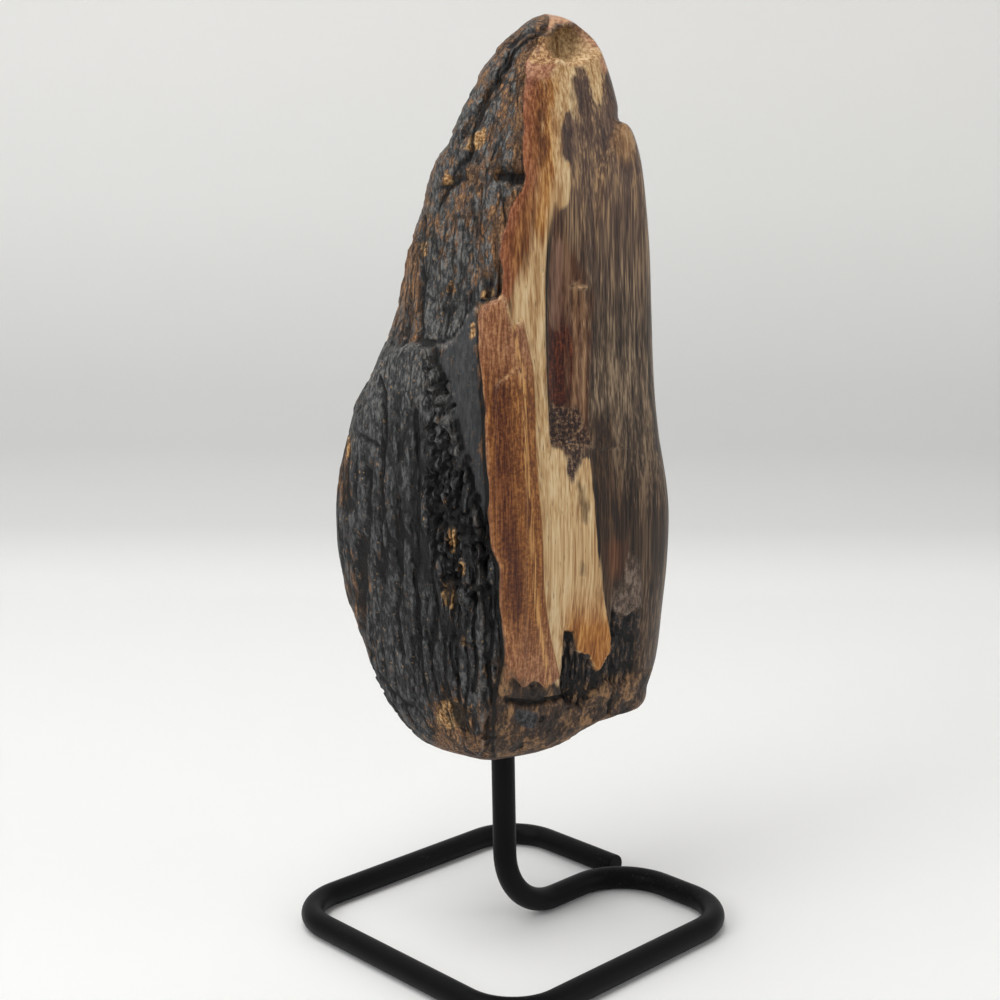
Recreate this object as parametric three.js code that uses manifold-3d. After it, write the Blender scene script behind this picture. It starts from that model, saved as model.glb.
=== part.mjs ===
// A piece of petrified wood held upright on a stand bent from one round rod.
// Millimetres, +Z up. The origin is on the surface it stands on, under the middle of the square base.
import * as THREE from 'three';
import { mergeVertices } from 'three/addons/utils/BufferGeometryUtils.js';
import Module from 'manifold-3d';

// Driving dimensions of the stand
const ROD = 8;
const ROD_SIDES = 12;
const BASE_SIDE = 109.5;
const CORNER_BEND = 19;
const INWARD_BEND = 21;
const UPWARD_BEND = 24;
const BEND_STEPS = 7;
const FREE_END_Y = 1;
const INWARD_RUN_Y = -1.3;
const POST_X = -4.6;
const POST_LEAN = THREE.MathUtils.degToRad(1.2);
const POST_TOP = 88;

// Driving dimensions of the stone
const STONE_LOW = 61;
const STONE_HIGH = 305;
const STONE_TURN = THREE.MathUtils.degToRad(-44.35);
const COLUMNS = 80;
const ROWS = 50;
const FRONT_CROWDING = 0.35;
const SECTION_SHARPNESS = 9;
const END_CALM = 12;
const SOCKET_GAP = 0.3;

// The markings and ledges of the front are laid out on an upright sheet through the base's centre
// and thrown on to the stone towards an eye in front of it.
const EYE_ACROSS = -4.8;
const EYE_DISTANCE = 521.6;
const EYE_HEIGHT = 247.4;

// Outline of the stone from the front: height, then distance across from the base's centre
const LEFT_SIDE = [
  [61, -10], [62, -18], [64, -22.5], [67, -27], [71, -31.2], [76, -36], [82, -41.4], [88, -45],
  [94, -47.8], [100, -49.8], [108, -52.8], [119, -56.3], [134, -58.6], [149, -59], [161, -57.4],
  [173, -54.6], [182, -51.8], [190, -47.6], [198, -44], [206, -40.6], [215, -37.6], [228, -35], [242, -31],
  [255, -27], [261, -24.2], [264, -21.5], [274, -16.4], [284, -11.6], [294, -4.8], [300, 0.6],
  [303.5, 5], [305, 9],
];
const RIGHT_SIDE = [
  [61, -10], [62.5, 2], [64.5, 8], [67, 13.5], [71, 20], [75, 26], [78, 32.5], [79.8, 42.2],
  [88, 45], [98, 47.6], [116, 49.2], [130, 50.3], [146, 50.6], [157, 49.6], [173, 46.8],
  [190, 45], [213, 43.8], [232, 42.8], [248, 41.2], [259, 39.6], [266, 37.6], [270.5, 35.2],
  [272, 32.4], [277, 31.8], [288, 28.6], [296, 25], [301, 19.6], [304, 14], [305, 9],
];
// Edge between the bark and the wood: height, then distance across
const FRONT_EDGE = [
  [61, -8], [90, -7.5], [125, -6.5], [160, -9.5], [200, -10.5], [225, -7], [262, 0], [290, 5], [305, 9],
];
// Height, then how far the stone reaches towards the viewer and away from the viewer
const FRONT_DEPTH = [
  [61, 0], [62.5, 9], [66, 20], [71, 30], [78, 36], [90, 40.5], [115, 43.5], [150, 45.5], [190, 42.5],
  [220, 38.5], [250, 33], [275, 26], [290, 19.5], [298, 13.5], [303, 7], [305, 0],
];
const BACK_DEPTH = [
  [61, 0], [62.5, 10], [66, 19], [72, 27], [85, 34], [110, 38.5], [150, 40], [190, 37], [230, 31],
  [260, 25], [285, 17], [298, 11], [303, 5.5], [305, 0],
];
// Share of the way from the lowest row to the highest, then height
const ROW_HEIGHTS = [
  [0, 61], [0.05, 63], [0.1, 68.5], [0.16, 78], [0.22, 90], [0.88, 287], [0.96, 302], [1, 305],
];

// Lines on the sheet: height, then distance across
const LOBE_EDGE = [
  [110, -10], [131, -11], [140, -11.5], [153, -15], [168, -19], [179, -22], [188, -26], [196, -28],
];
const STRIP_LEFT = [
  [80, -6], [97, -3], [113, -5], [127, -5], [135, -8], [157, -9], [178, -10], [191, -11], [205, -12],
  [214, -11], [217, -5], [233, -5], [247, -1], [252, 2], [268, 2], [290, 3],
];
const STRIP_RIGHT = [[88, 17], [104, 12], [118, 10], [140, 9], [165, 7], [191, 6], [205, 3.5], [215, 1]];
const RECESS_LEFT = [[160, 13], [169, 12], [187, 11], [216, 10], [254, 11]];
const CREAM_RIGHT = [[95, 35], [103, 33], [127, 29], [148, 27], [165, 25]];
const RIGHT_LOBE = [[216, 25], [241, 26], [258, 27], [265, 30], [273, 33]];
// Lines on the sheet: distance across, then height
const LOBE_TOP = [[-60, 176], [-52, 186], [-48, 190], [-41, 198.5], [-34, 201], [-29, 200], [-25, 195]];
const BARK_LEDGE = [[-60, 197], [-40, 201], [-26, 201], [-20, 205], [-17, 211], [-10, 215], [0, 216]];
const BASE_CRACK = [[-7, 79], [0, 80], [12, 81], [20, 82], [45, 80]];

// Forms of the front. A rise stands out of the plain form and a sink lies in it; a fade runs from
// its first height to its second.
const EDGE_WIDTH = 1.6;
const BARK_EDGE_WIDTH = 2;
const PLATE = { sink: 2.4, fade: [205, 255] };
const HOLLOW_SIDE = { sink: 2.6, fade: [104, 140] };
const LOBE = { rise: 1.2, edgeWidth: 2 };
const FURROWS = { sink: 0.9, turnsPerMm: 0.52, sway: 1.6, swayLength: 31, sharpness: 6 };
const SLIVER = { sink: 2.2, across: -50.5, halfWidth: 1.8, lowFade: [98, 106], highFade: [134, 142] };
const NOTCH = { sink: 2.2, across: -1, height: 254.5, halfWidth: 3.4 };
const TOP_LEDGE = { sink: 1.2, across: -16, height: 272, slope: 1.1, edgeWidth: 3, fade: [284, 296] };
const STRIP = { low: 84, high: 216, rise: 1, crown: 0.9, lowerTop: 192, lowerRise: 0.6, lowerEdgeWidth: 2 };
const RECESS = { sink: 2.8, edgeWidth: 1.4, reach: [2, 13], low: 169, lowEdgeWidth: 3, fade: [216, 254] };
const RIGHT_GRAIN = { sink: 0.9, high: 167, highEdgeWidth: 3, reach: [34, 46] };
const RIGHT_RISE = { rise: 1.4, edgeWidth: 2, high: 273, highEdgeWidth: 3, fade: [222, 262] };
const FOOT = { sink: 1.1, edgeWidth: 1.5, left: -6, leftEdgeWidth: 3 };
const CHARRED = { sink: 1.1, left: 16, leftEdgeWidth: 3, fade: [96, 108] };
// The hollow under the tip: a round pit and a shallow shelf to its left
const PIT = { across: 16.8, height: 295.2, halfWidth: 7.2, halfHeight: 5.4, sink: 9.5, wall: [0.35, 1.15] };
const SHELF = { across: 8, height: 293.8, halfWidth: 6, halfHeight: 4.2, sink: 2.2, wall: [0.5, 1.2] };
const TIP_LEFT_WHOLE = 4;
const TIP_FADE = 8;
const DEEPEST_SHARE = 0.6;
// Forms of the back
const BACK_PLATE = {
  rise: 2.2, top: 212, topSlope: 0.35, topWidth: 2.4, side: 10, sideSlope: 0.05, sideWidth: 3,
};
const FLUTES = { sink: 1.3, turnsPerMm: 0.21, sway: 0.7, swayLength: 38, sharpness: 4 };
const BACK_DENTS = [
  { sink: 2.6, across: 18, height: 236, halfWidth: 9, halfHeight: 16 },
  { sink: 2, across: -24, height: 108, halfWidth: 10, halfHeight: 13 },
];
// Directions in degrees that the upright faces of a row look in, counted from the viewer's right
const BACK_RIGHT_FACE = 55;
const BACK_LEFT_FACE = 120;
const FRONT_LEFT_FACE = -125;
const FRONT_RIGHT_FACE = -62;
const BACK_EDGE_SHARE = 0.1;
const LEAST_DISTANCE = 0.05;
const OUTLINE_TURN_STEP = Math.PI / 60;
// How squarely a place must face the viewer, or away, before its forms begin and before they are full
const FACING = [0.08, 0.4];
// The socket starts below the stone and its section has more sides than the rod's, so it is cut wider
const SOCKET_START = 10;
const SOCKET_ALLOWANCE = 0.1;

// Smooth curve through hand-set points [along, value], flat beyond its ends
function curveAt(points, along) {
  const last = points.length - 1;
  if (along <= points[0][0]) return points[0][1];
  if (along >= points[last][0]) return points[last][1];
  let i = 0;
  while (points[i + 1][0] < along) i += 1;
  const slope = (k) => {
    const a = points[Math.max(k - 1, 0)];
    const b = points[Math.min(k + 1, last)];
    return (b[1] - a[1]) / (b[0] - a[0]);
  };
  const span = points[i + 1][0] - points[i][0];
  const t = (along - points[i][0]) / span;
  const keep = 2 * t ** 3 - 3 * t ** 2 + 1;
  const leave = t ** 3 - 2 * t ** 2 + t;
  const arrive = t ** 3 - t ** 2;
  const bend = leave * span * slope(i) + arrive * span * slope(i + 1);
  return keep * points[i][1] + (1 - keep) * points[i + 1][1] + bend;
}

const ramp = THREE.MathUtils.smoothstep;
const step = (distance, width = EDGE_WIDTH) => ramp(distance, -width / 2, width / 2);
const hump = (distance, halfWidth) => Math.exp(-((distance / halfWidth) ** 2));
const ridges = (across, height, { turnsPerMm, sway, swayLength, sharpness }) => (
  Math.abs(Math.sin(across * turnsPerMm + sway * Math.sin(height / swayLength))) ** sharpness);

function barkRelief(across, height, belowLedge) {
  const onLobe = step(curveAt(LOBE_EDGE, height) - across, LOBE.edgeWidth)
    * step(curveAt(LOBE_TOP, across) - height, LOBE.edgeWidth);
  const plate = PLATE.sink * (1 - belowLedge) * (1 - ramp(height, ...PLATE.fade));
  const hollowSide = HOLLOW_SIDE.sink * belowLedge * (1 - onLobe) * ramp(height, ...HOLLOW_SIDE.fade);
  const furrows = FURROWS.sink * belowLedge * ridges(across, height, FURROWS);
  const sliver = SLIVER.sink * hump(across - SLIVER.across, SLIVER.halfWidth)
    * ramp(height, ...SLIVER.lowFade) * (1 - ramp(height, ...SLIVER.highFade));
  const notch = NOTCH.sink * hump(across - NOTCH.across, NOTCH.halfWidth)
    * hump(height - NOTCH.height, NOTCH.halfWidth);
  const ledgeHeight = TOP_LEDGE.height + TOP_LEDGE.slope * (across - TOP_LEDGE.across);
  const topLedge = TOP_LEDGE.sink * step(height - ledgeHeight, TOP_LEDGE.edgeWidth)
    * (1 - ramp(height, ...TOP_LEDGE.fade));
  return LOBE.rise * onLobe - plate - hollowSide - furrows - sliver - notch - topLedge;
}

function woodRelief(across, height) {
  const pastEdge = across - curveAt(RECESS_LEFT, height);
  const recess = RECESS.sink * step(pastEdge, RECESS.edgeWidth) * (1 - ramp(pastEdge, ...RECESS.reach))
    * step(height - RECESS.low, RECESS.lowEdgeWidth) * (1 - ramp(height, ...RECESS.fade));
  const rightGrain = RIGHT_GRAIN.sink * step(across - curveAt(CREAM_RIGHT, height))
    * step(RIGHT_GRAIN.high - height, RIGHT_GRAIN.highEdgeWidth) * (1 - ramp(across, ...RIGHT_GRAIN.reach));
  const rightRise = RIGHT_RISE.rise * step(across - curveAt(RIGHT_LOBE, height), RIGHT_RISE.edgeWidth)
    * step(RIGHT_RISE.high - height, RIGHT_RISE.highEdgeWidth) * ramp(height, ...RIGHT_RISE.fade);
  return rightRise - recess - rightGrain;
}

// How far the stone's front stands out from its plain form, at a place on the sheet
function frontRelief(across, height) {
  const stripLeft = curveAt(STRIP_LEFT, height);
  const stripRight = curveAt(STRIP_RIGHT, height);
  const onBark = step(stripLeft - across, BARK_EDGE_WIDTH);
  const belowLedge = step(curveAt(BARK_LEDGE, across) - height);

  const middle = (2 * across - stripLeft - stripRight) / (stripRight - stripLeft);
  const inStrip = (1 - onBark) * step(stripRight - across) * step(STRIP.high - height)
    * step(height - STRIP.low);
  const crown = STRIP.crown * (1 - Math.min(middle ** 2, 1));
  const lowerRise = STRIP.lowerRise * step(STRIP.lowerTop - height, STRIP.lowerEdgeWidth);
  const strip = inStrip * (STRIP.rise + crown + lowerRise);

  const belowCrack = step(curveAt(BASE_CRACK, across) - height, FOOT.edgeWidth)
    * step(across - FOOT.left, FOOT.leftEdgeWidth);
  const charred = step(across - CHARRED.left, CHARRED.leftEdgeWidth) * (1 - ramp(height, ...CHARRED.fade));
  const foot = FOOT.sink * belowCrack + CHARRED.sink * charred * (1 - belowCrack);

  const bark = barkRelief(across, height, belowLedge);
  return onBark * bark + strip + (1 - onBark) * woodRelief(across, height) - foot;
}

// How far the hollow under the tip is sunk in, at a place on the sheet
function tipHollow(across, height) {
  const from = (form) => ((across - form.across) / form.halfWidth) ** 2
    + ((height - form.height) / form.halfHeight) ** 2;
  const pastPit = ramp(from(PIT), ...PIT.wall);
  return PIT.sink * (1 - pastPit) + SHELF.sink * (1 - ramp(from(SHELF), ...SHELF.wall)) * pastPit;
}

// How far the back stands out from its plain form: a split-off plate, long flutes and a few dents
function backRelief(across, height) {
  const belowTop = BACK_PLATE.top + BACK_PLATE.topSlope * across - height;
  const insideSide = BACK_PLATE.side - across + BACK_PLATE.sideSlope * height;
  const plate = BACK_PLATE.rise * step(belowTop, BACK_PLATE.topWidth)
    * step(insideSide, BACK_PLATE.sideWidth);
  let out = plate - FLUTES.sink * ridges(across, height, FLUTES);
  for (const dent of BACK_DENTS) {
    out -= dent.sink * hump(across - dent.across, dent.halfWidth)
      * hump(height - dent.height, dent.halfHeight);
  }
  return out;
}

// Distance from the stone's middle line to its plain surface, in the direction of an angle.
// Each row is a rounded polygon of six upright faces.
function sectionRadius(angle, faces) {
  let sum = 0;
  for (const [direction, distance] of faces) {
    const facing = Math.cos(angle - THREE.MathUtils.degToRad(direction));
    if (facing > 0) sum += (facing / Math.max(distance, LEAST_DISTANCE)) ** SECTION_SHARPNESS;
  }
  return sum ** (-1 / SECTION_SHARPNESS);
}

function rowFaces(height) {
  const halfWidth = (curveAt(RIGHT_SIDE, height) - curveAt(LEFT_SIDE, height)) / 2;
  const middle = (curveAt(RIGHT_SIDE, height) + curveAt(LEFT_SIDE, height)) / 2;
  const edge = curveAt(FRONT_EDGE, height) - middle;
  const front = curveAt(FRONT_DEPTH, height);
  const back = curveAt(BACK_DEPTH, height);
  const through = (direction, x, y) => {
    const turn = THREE.MathUtils.degToRad(direction);
    return [direction, x * Math.cos(turn) + y * Math.sin(turn)];
  };
  const faces = [
    [0, halfWidth],
    through(BACK_RIGHT_FACE, BACK_EDGE_SHARE * halfWidth, back),
    through(BACK_LEFT_FACE, BACK_EDGE_SHARE * halfWidth, back),
    [180, halfWidth],
    through(FRONT_LEFT_FACE, edge, -front),
    through(FRONT_RIGHT_FACE, edge, -front),
  ];
  return { middle, halfWidth, faces };
}

// A row's points are stretched across so that its sides lie exactly on the outline
function rowStretch({ halfWidth, faces }) {
  let left = LEAST_DISTANCE;
  let right = LEAST_DISTANCE;
  for (let angle = 0; angle < 2 * Math.PI; angle += OUTLINE_TURN_STEP) {
    const x = Math.cos(angle) * sectionRadius(angle, faces);
    right = Math.max(right, x);
    left = Math.max(left, -x);
  }
  return { left: halfWidth / left, right: halfWidth / right };
}

function stonePoint(angle, height, row) {
  const radius = sectionRadius(angle, row.faces);
  const outX = Math.cos(angle);
  const outY = Math.sin(angle);
  const x = outX * radius * (outX > 0 ? row.stretch.right : row.stretch.left);
  const y = outY * radius;
  const nearness = EYE_DISTANCE / (EYE_DISTANCE + y);
  const across = EYE_ACROSS + (row.middle + x - EYE_ACROSS) * nearness;
  const level = EYE_HEIGHT + (height - EYE_HEIGHT) * nearness;
  const facesFront = ramp(-outY, ...FACING);
  const facesBack = ramp(outY, ...FACING);
  const calmBelow = ramp(height, STONE_LOW, STONE_LOW + END_CALM);
  const calmAbove = 1 - ramp(height, STONE_HIGH - END_CALM, STONE_HIGH);
  const relief = facesFront * frontRelief(across, level) + facesBack * backRelief(row.middle + x, height);
  const belowTip = 1 - ramp(height, STONE_HIGH - TIP_FADE, STONE_HIGH - TIP_LEFT_WHOLE);
  const sunk = facesFront * tipHollow(across, level) * belowTip;
  const out = relief * calmBelow * calmAbove - Math.min(sunk, DEEPEST_SHARE * radius);
  return [row.middle + x + outX * out, y + outY * out, height];
}

function stoneForm() {
  const form = new THREE.SphereGeometry(1, COLUMNS, ROWS);
  const points = form.attributes.position;
  const grid = form.attributes.uv;
  const rows = [];
  for (let i = 0; i <= ROWS; i += 1) {
    const height = curveAt(ROW_HEIGHTS, i / ROWS);
    const row = rowFaces(height);
    row.height = height;
    row.stretch = rowStretch(row);
    rows.push(row);
  }
  for (let i = 0; i < points.count; i += 1) {
    const row = rows[Math.round(grid.getY(i) * ROWS)];
    const around = 2 * Math.PI * grid.getX(i);
    if (row.height <= STONE_LOW || row.height >= STONE_HIGH) {
      points.setXYZ(i, row.middle, 0, row.height);
    } else {
      const angle = Math.PI / 2 + around + FRONT_CROWDING * Math.sin(around);
      points.setXYZ(i, ...stonePoint(angle, row.height, row));
    }
  }
  form.rotateZ(STONE_TURN);
  return form;
}

// The rod's middle line: straight runs with a round bend at each corner, stepped only where it bends
class BentRod extends THREE.Curve {
  constructor(corners) {
    super();
    this.pieces = [];
    let from = corners[0].point;
    for (let i = 1; i < corners.length; i += 1) {
      const { point, bend } = corners[i];
      if (i === corners.length - 1) {
        this.addRun(from, point);
        break;
      }
      const arriving = point.clone().sub(corners[i - 1].point).normalize();
      const leaving = corners[i + 1].point.clone().sub(point).normalize();
      const turn = arriving.angleTo(leaving);
      const reach = bend * Math.tan(turn / 2);
      const start = point.clone().addScaledVector(arriving, -reach);
      const inward = leaving.clone().addScaledVector(arriving, -leaving.dot(arriving)).normalize();
      const centre = start.clone().addScaledVector(inward, bend);
      this.addRun(from, start);
      for (let k = 0; k < BEND_STEPS; k += 1) {
        this.pieces.push((t) => {
          const angle = (turn * (k + t)) / BEND_STEPS;
          return centre.clone()
            .addScaledVector(inward, -bend * Math.cos(angle))
            .addScaledVector(arriving, bend * Math.sin(angle));
        });
      }
      from = point.clone().addScaledVector(leaving, reach);
    }
  }

  addRun(from, to) {
    this.pieces.push((t) => from.clone().lerp(to, t));
  }

  getPoint(t, target = new THREE.Vector3()) {
    const place = Math.min(t * this.pieces.length, this.pieces.length - 1e-9);
    const index = Math.floor(place);
    return target.copy(this.pieces[index](place - index));
  }

  getUtoTmapping(u) {
    return u;
  }
}

// A point on the post's middle line at a height above the surface
function postPoint(height) {
  const shift = (height - ROD / 2) * Math.tan(POST_LEAN);
  return new THREE.Vector3(
    POST_X - shift * Math.cos(STONE_TURN),
    INWARD_RUN_Y - shift * Math.sin(STONE_TURN),
    height,
  );
}

function rodSection() {
  const outline = new THREE.Shape();
  const corner = ROD / 2 / Math.cos(Math.PI / ROD_SIDES);
  for (let i = 0; i < ROD_SIDES; i += 1) {
    const angle = (2 * Math.PI * (i + 0.5)) / ROD_SIDES;
    const place = [corner * Math.cos(angle), corner * Math.sin(angle)];
    if (i === 0) outline.moveTo(...place);
    else outline.lineTo(...place);
  }
  outline.closePath();
  return outline;
}

function rodStandForm() {
  const half = BASE_SIDE / 2;
  const lie = (x, y, bend) => ({ point: new THREE.Vector3(x, y, ROD / 2), bend });
  const path = new BentRod([
    lie(half, FREE_END_Y),
    lie(half, half, CORNER_BEND),
    lie(-half, half, CORNER_BEND),
    lie(-half, -half, CORNER_BEND),
    lie(half, -half, CORNER_BEND),
    lie(half, INWARD_RUN_Y, INWARD_BEND),
    lie(POST_X, INWARD_RUN_Y, UPWARD_BEND),
    { point: postPoint(POST_TOP) },
  ]);
  return new THREE.ExtrudeGeometry(rodSection(), {
    steps: path.pieces.length,
    bevelEnabled: false,
    extrudePath: path,
  });
}

// The hole drilled up into the stone's underside for the post
function socketForm() {
  const radius = (ROD / 2 + SOCKET_GAP) / Math.cos(Math.PI / ROD_SIDES) + SOCKET_ALLOWANCE;
  const top = postPoint(POST_TOP + SOCKET_GAP);
  const foot = postPoint(STONE_LOW - SOCKET_START);
  const bore = new THREE.CylinderGeometry(radius, radius, top.distanceTo(foot), 2 * ROD_SIDES);
  const up = new THREE.Vector3(0, 1, 0);
  bore.applyQuaternion(new THREE.Quaternion().setFromUnitVectors(up, top.clone().sub(foot).normalize()));
  const middle = top.clone().add(foot).multiplyScalar(0.5);
  bore.translate(middle.x, middle.y, middle.z);
  return bore;
}

const manifoldLibrary = await Module();
manifoldLibrary.setup();

function toSolid(geometry) {
  const bare = geometry.clone();
  bare.deleteAttribute('normal');
  bare.deleteAttribute('uv');
  const merged = mergeVertices(bare, 1e-4);
  const index = merged.index.array;
  const kept = [];
  for (let i = 0; i < index.length; i += 3) {
    const [a, b, c] = [index[i], index[i + 1], index[i + 2]];
    if (a !== b && b !== c && a !== c) kept.push(a, b, c);
  }
  return new manifoldLibrary.Manifold(new manifoldLibrary.Mesh({
    numProp: 3,
    vertProperties: new Float32Array(merged.attributes.position.array),
    triVerts: new Uint32Array(kept),
  }));
}

function toGeometry(solid) {
  const mesh = solid.getMesh();
  const geometry = new THREE.BufferGeometry();
  geometry.setAttribute('position', new THREE.BufferAttribute(new Float32Array(mesh.vertProperties), 3));
  geometry.setIndex(new THREE.BufferAttribute(new Uint32Array(mesh.triVerts), 1));
  geometry.computeVertexNormals();
  return geometry;
}

function stone() {
  const drilled = toSolid(stoneForm()).subtract(toSolid(socketForm()));
  const material = new THREE.MeshStandardMaterial({ color: 0x6e5338, roughness: 0.6, metalness: 0 });
  const mesh = new THREE.Mesh(toGeometry(drilled), material);
  mesh.name = 'petrified_wood';
  return mesh;
}

function rodStand() {
  const material = new THREE.MeshStandardMaterial({ color: 0x0d0d0f, roughness: 0.5, metalness: 0 });
  const mesh = new THREE.Mesh(rodStandForm(), material);
  mesh.name = 'rod_stand';
  return mesh;
}

const object = new THREE.Group();
object.name = 'petrified_wood_on_stand';
object.add(stone(), rodStand());

export default object;
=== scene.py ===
import math

import bmesh
import bpy
import numpy as np
from mathutils import Matrix, Vector


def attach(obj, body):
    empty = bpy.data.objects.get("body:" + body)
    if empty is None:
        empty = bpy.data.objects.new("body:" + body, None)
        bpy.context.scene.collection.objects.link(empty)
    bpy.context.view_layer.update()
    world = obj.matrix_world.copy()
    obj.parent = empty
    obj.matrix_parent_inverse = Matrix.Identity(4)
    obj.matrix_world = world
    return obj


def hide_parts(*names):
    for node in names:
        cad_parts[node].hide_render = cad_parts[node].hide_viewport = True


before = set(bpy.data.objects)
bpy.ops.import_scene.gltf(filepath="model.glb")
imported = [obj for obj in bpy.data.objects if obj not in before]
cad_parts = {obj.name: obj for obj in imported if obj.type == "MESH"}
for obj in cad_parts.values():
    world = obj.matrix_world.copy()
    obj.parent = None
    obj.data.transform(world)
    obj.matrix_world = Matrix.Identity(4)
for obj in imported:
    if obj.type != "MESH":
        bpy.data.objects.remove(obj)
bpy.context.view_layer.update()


# Camera: it stands where the photographer stood, half a metre in front of the base's front corner
# and a little under the stone's tip, looking slightly down.
EYE = Vector((-0.3681, -0.3696, 0.2474))
LOOK = Vector((0.6871, 0.7029, -0.1841)).normalized()
LENS_MM = 57.6
SENSOR_MM = 36.0
CAMERA_ROLL = math.radians(0.17)

camera_data = bpy.data.cameras.new("camera")
camera_data.lens = LENS_MM
camera_data.sensor_width = SENSOR_MM
camera = bpy.data.objects.new("camera", camera_data)
camera.rotation_mode = "QUATERNION"
camera.location = EYE
camera_roll = Matrix.Rotation(CAMERA_ROLL, 3, "Z").to_quaternion()
camera.rotation_quaternion = LOOK.to_track_quat("-Z", "Y") @ camera_roll
bpy.context.scene.collection.objects.link(camera)
bpy.context.scene.camera = camera
bpy.context.scene.view_settings.view_transform = "Standard"


# Floor and light: one sheet of matt paper that lies flat and runs up behind the object, its colour
# painted with shade, greyer low on the wall. A broad soft lamp hangs above, two more stand at the
# front left and the right, and pale light comes from all round.
def tint(red, green, blue):
    """A colour given as 0 to 255 the way a screen shows it, as the shader takes it."""
    def straight(value):
        share = value / 255
        return share / 12.92 if share <= 0.04045 else ((share + 0.055) / 1.055) ** 2.4
    return (straight(red), straight(green), straight(blue), 1.0)


def add_node(tree, kind, inputs=None, **settings):
    """A new node with its settings, its inputs linked to sockets or set to values."""
    node = tree.nodes.new(kind)
    for name, value in settings.items():
        setattr(node, name, value)
    for key, value in (inputs or {}).items():
        if isinstance(value, bpy.types.NodeSocket):
            tree.links.new(value, node.inputs[key])
        else:
            node.inputs[key].default_value = value
    return node


def new_material(name, **shader_values):
    """A material with its Principled shader, and the shader's constant values on its own sockets."""
    material = bpy.data.materials.new(name)
    material.use_nodes = True
    shader = material.node_tree.nodes["Principled BSDF"]
    for key, value in shader_values.items():
        shader.inputs[key.replace("_", " ")].default_value = value
    return material, material.node_tree, shader


def new_piece(name, mesh_data, material):
    """A mesh object at the origin with its material."""
    piece = bpy.data.objects.new(name, mesh_data)
    bpy.context.scene.collection.objects.link(piece)
    piece.data.materials.append(material)
    return piece


def moved_vertices(geometry):
    """The vertices among what an operator made."""
    return [v for v in geometry if isinstance(v, bmesh.types.BMVert)]


def made_edges(geometry):
    """The edges among what an operator made."""
    return [e for e in geometry if isinstance(e, bmesh.types.BMEdge)]


def make_sweep():
    """Floor, a wide bend and a back wall, square to the camera's direction."""
    half_width, near, far, bend, height = 2.2, 1.2, 0.46, 0.12, 1.3
    shape = bmesh.new()
    start = [shape.verts.new((x, -near, 0)) for x in (-half_width, half_width)]
    edge = shape.edges.new(start)
    run = bmesh.ops.extrude_edge_only(shape, edges=[edge])["geom"]
    bmesh.ops.translate(shape, vec=(0, near + far, 0), verts=moved_vertices(run))
    edge = max(made_edges(run), key=lambda e: min(v.co.y for v in e.verts))
    turned = bmesh.ops.spin(shape, geom=[edge, *edge.verts], cent=(0, far, bend), axis=(1, 0, 0),
                            angle=math.pi / 2, steps=24, use_duplicate=False)["geom_last"]
    run = bmesh.ops.extrude_edge_only(shape, edges=made_edges(turned))["geom"]
    bmesh.ops.translate(shape, vec=(0, 0, height), verts=moved_vertices(run))
    for face in shape.faces:
        face.smooth = True
    shape.transform(Matrix.Rotation(math.atan2(-LOOK.x, LOOK.y), 4, "Z"))
    data = bpy.data.meshes.new("sweep")
    shape.to_mesh(data)
    shape.free()
    return data


# Painted shade on the paper: its colour is brightest on the floor, darkest in a band around the bend low on
# the wall, and lighter again higher up.
PAPER_FLOOR = tint(250, 250, 249)
PAPER_TOP = tint(231, 230, 228)
PAPER_SHADE_BAND = [(0.03, tint(221, 221, 220)), (0.08, tint(207, 207, 206)), (0.25, tint(227, 227, 225))]
PAPER_TOP_AT = 0.34
PAPER_CLOUD = tint(240, 239, 238)
PAPER_CLOUD_SHARE = 0.12

sweep_material, sweep_tree, sweep_shader = new_material("matt_white_paper", Roughness=0.85)
paper_place = add_node(sweep_tree, "ShaderNodeTexCoord").outputs["Object"]
paper_height = add_node(sweep_tree, "ShaderNodeSeparateXYZ", {0: paper_place}).outputs[2]
# The paper's painted shade, set by height.
paper_painted_shading = add_node(sweep_tree, "ShaderNodeValToRGB", {0: paper_height})
paper_shades = paper_painted_shading.color_ramp.elements
paper_shades[0].position, paper_shades[0].color = 0.0, PAPER_FLOOR
paper_shades[1].position, paper_shades[1].color = PAPER_TOP_AT, PAPER_TOP
for paper_level, shade in PAPER_SHADE_BAND:
    paper_shades.new(paper_level).color = shade
paper_cloud = add_node(sweep_tree, "ShaderNodeTexNoise", {
    "Vector": paper_place, "Scale": 3.0, "Detail": 2.0}).outputs["Fac"]
cloud_share = add_node(sweep_tree, "ShaderNodeMath", {
    0: paper_cloud, 1: PAPER_CLOUD_SHARE}, operation="MULTIPLY").outputs[0]
paper_colour = add_node(sweep_tree, "ShaderNodeMix", {
    0: cloud_share, 6: paper_painted_shading.outputs[0], 7: PAPER_CLOUD}, data_type="RGBA")
sweep_tree.links.new(paper_colour.outputs[2], sweep_shader.inputs["Base Color"])
sweep = new_piece("sweep", make_sweep(), sweep_material)


def add_lamp(name, place, target, size, power, colour):
    """A square soft lamp at a place, turned towards a target."""
    lamp_data = bpy.data.lights.new(name, "AREA")
    lamp_data.size = size
    lamp_data.energy = power
    lamp_data.color = colour
    lamp = bpy.data.objects.new(name, lamp_data)
    lamp.location = place
    lamp.rotation_mode = "QUATERNION"
    lamp.rotation_quaternion = (Vector(target) - Vector(place)).to_track_quat("-Z", "Y")
    bpy.context.scene.collection.objects.link(lamp)
    return lamp


ACROSS = Vector((LOOK.y, -LOOK.x, 0)).normalized()
AHEAD = Vector((LOOK.x, LOOK.y, 0)).normalized()
STONE_MIDDLE = (0, 0, 0.17)
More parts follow.
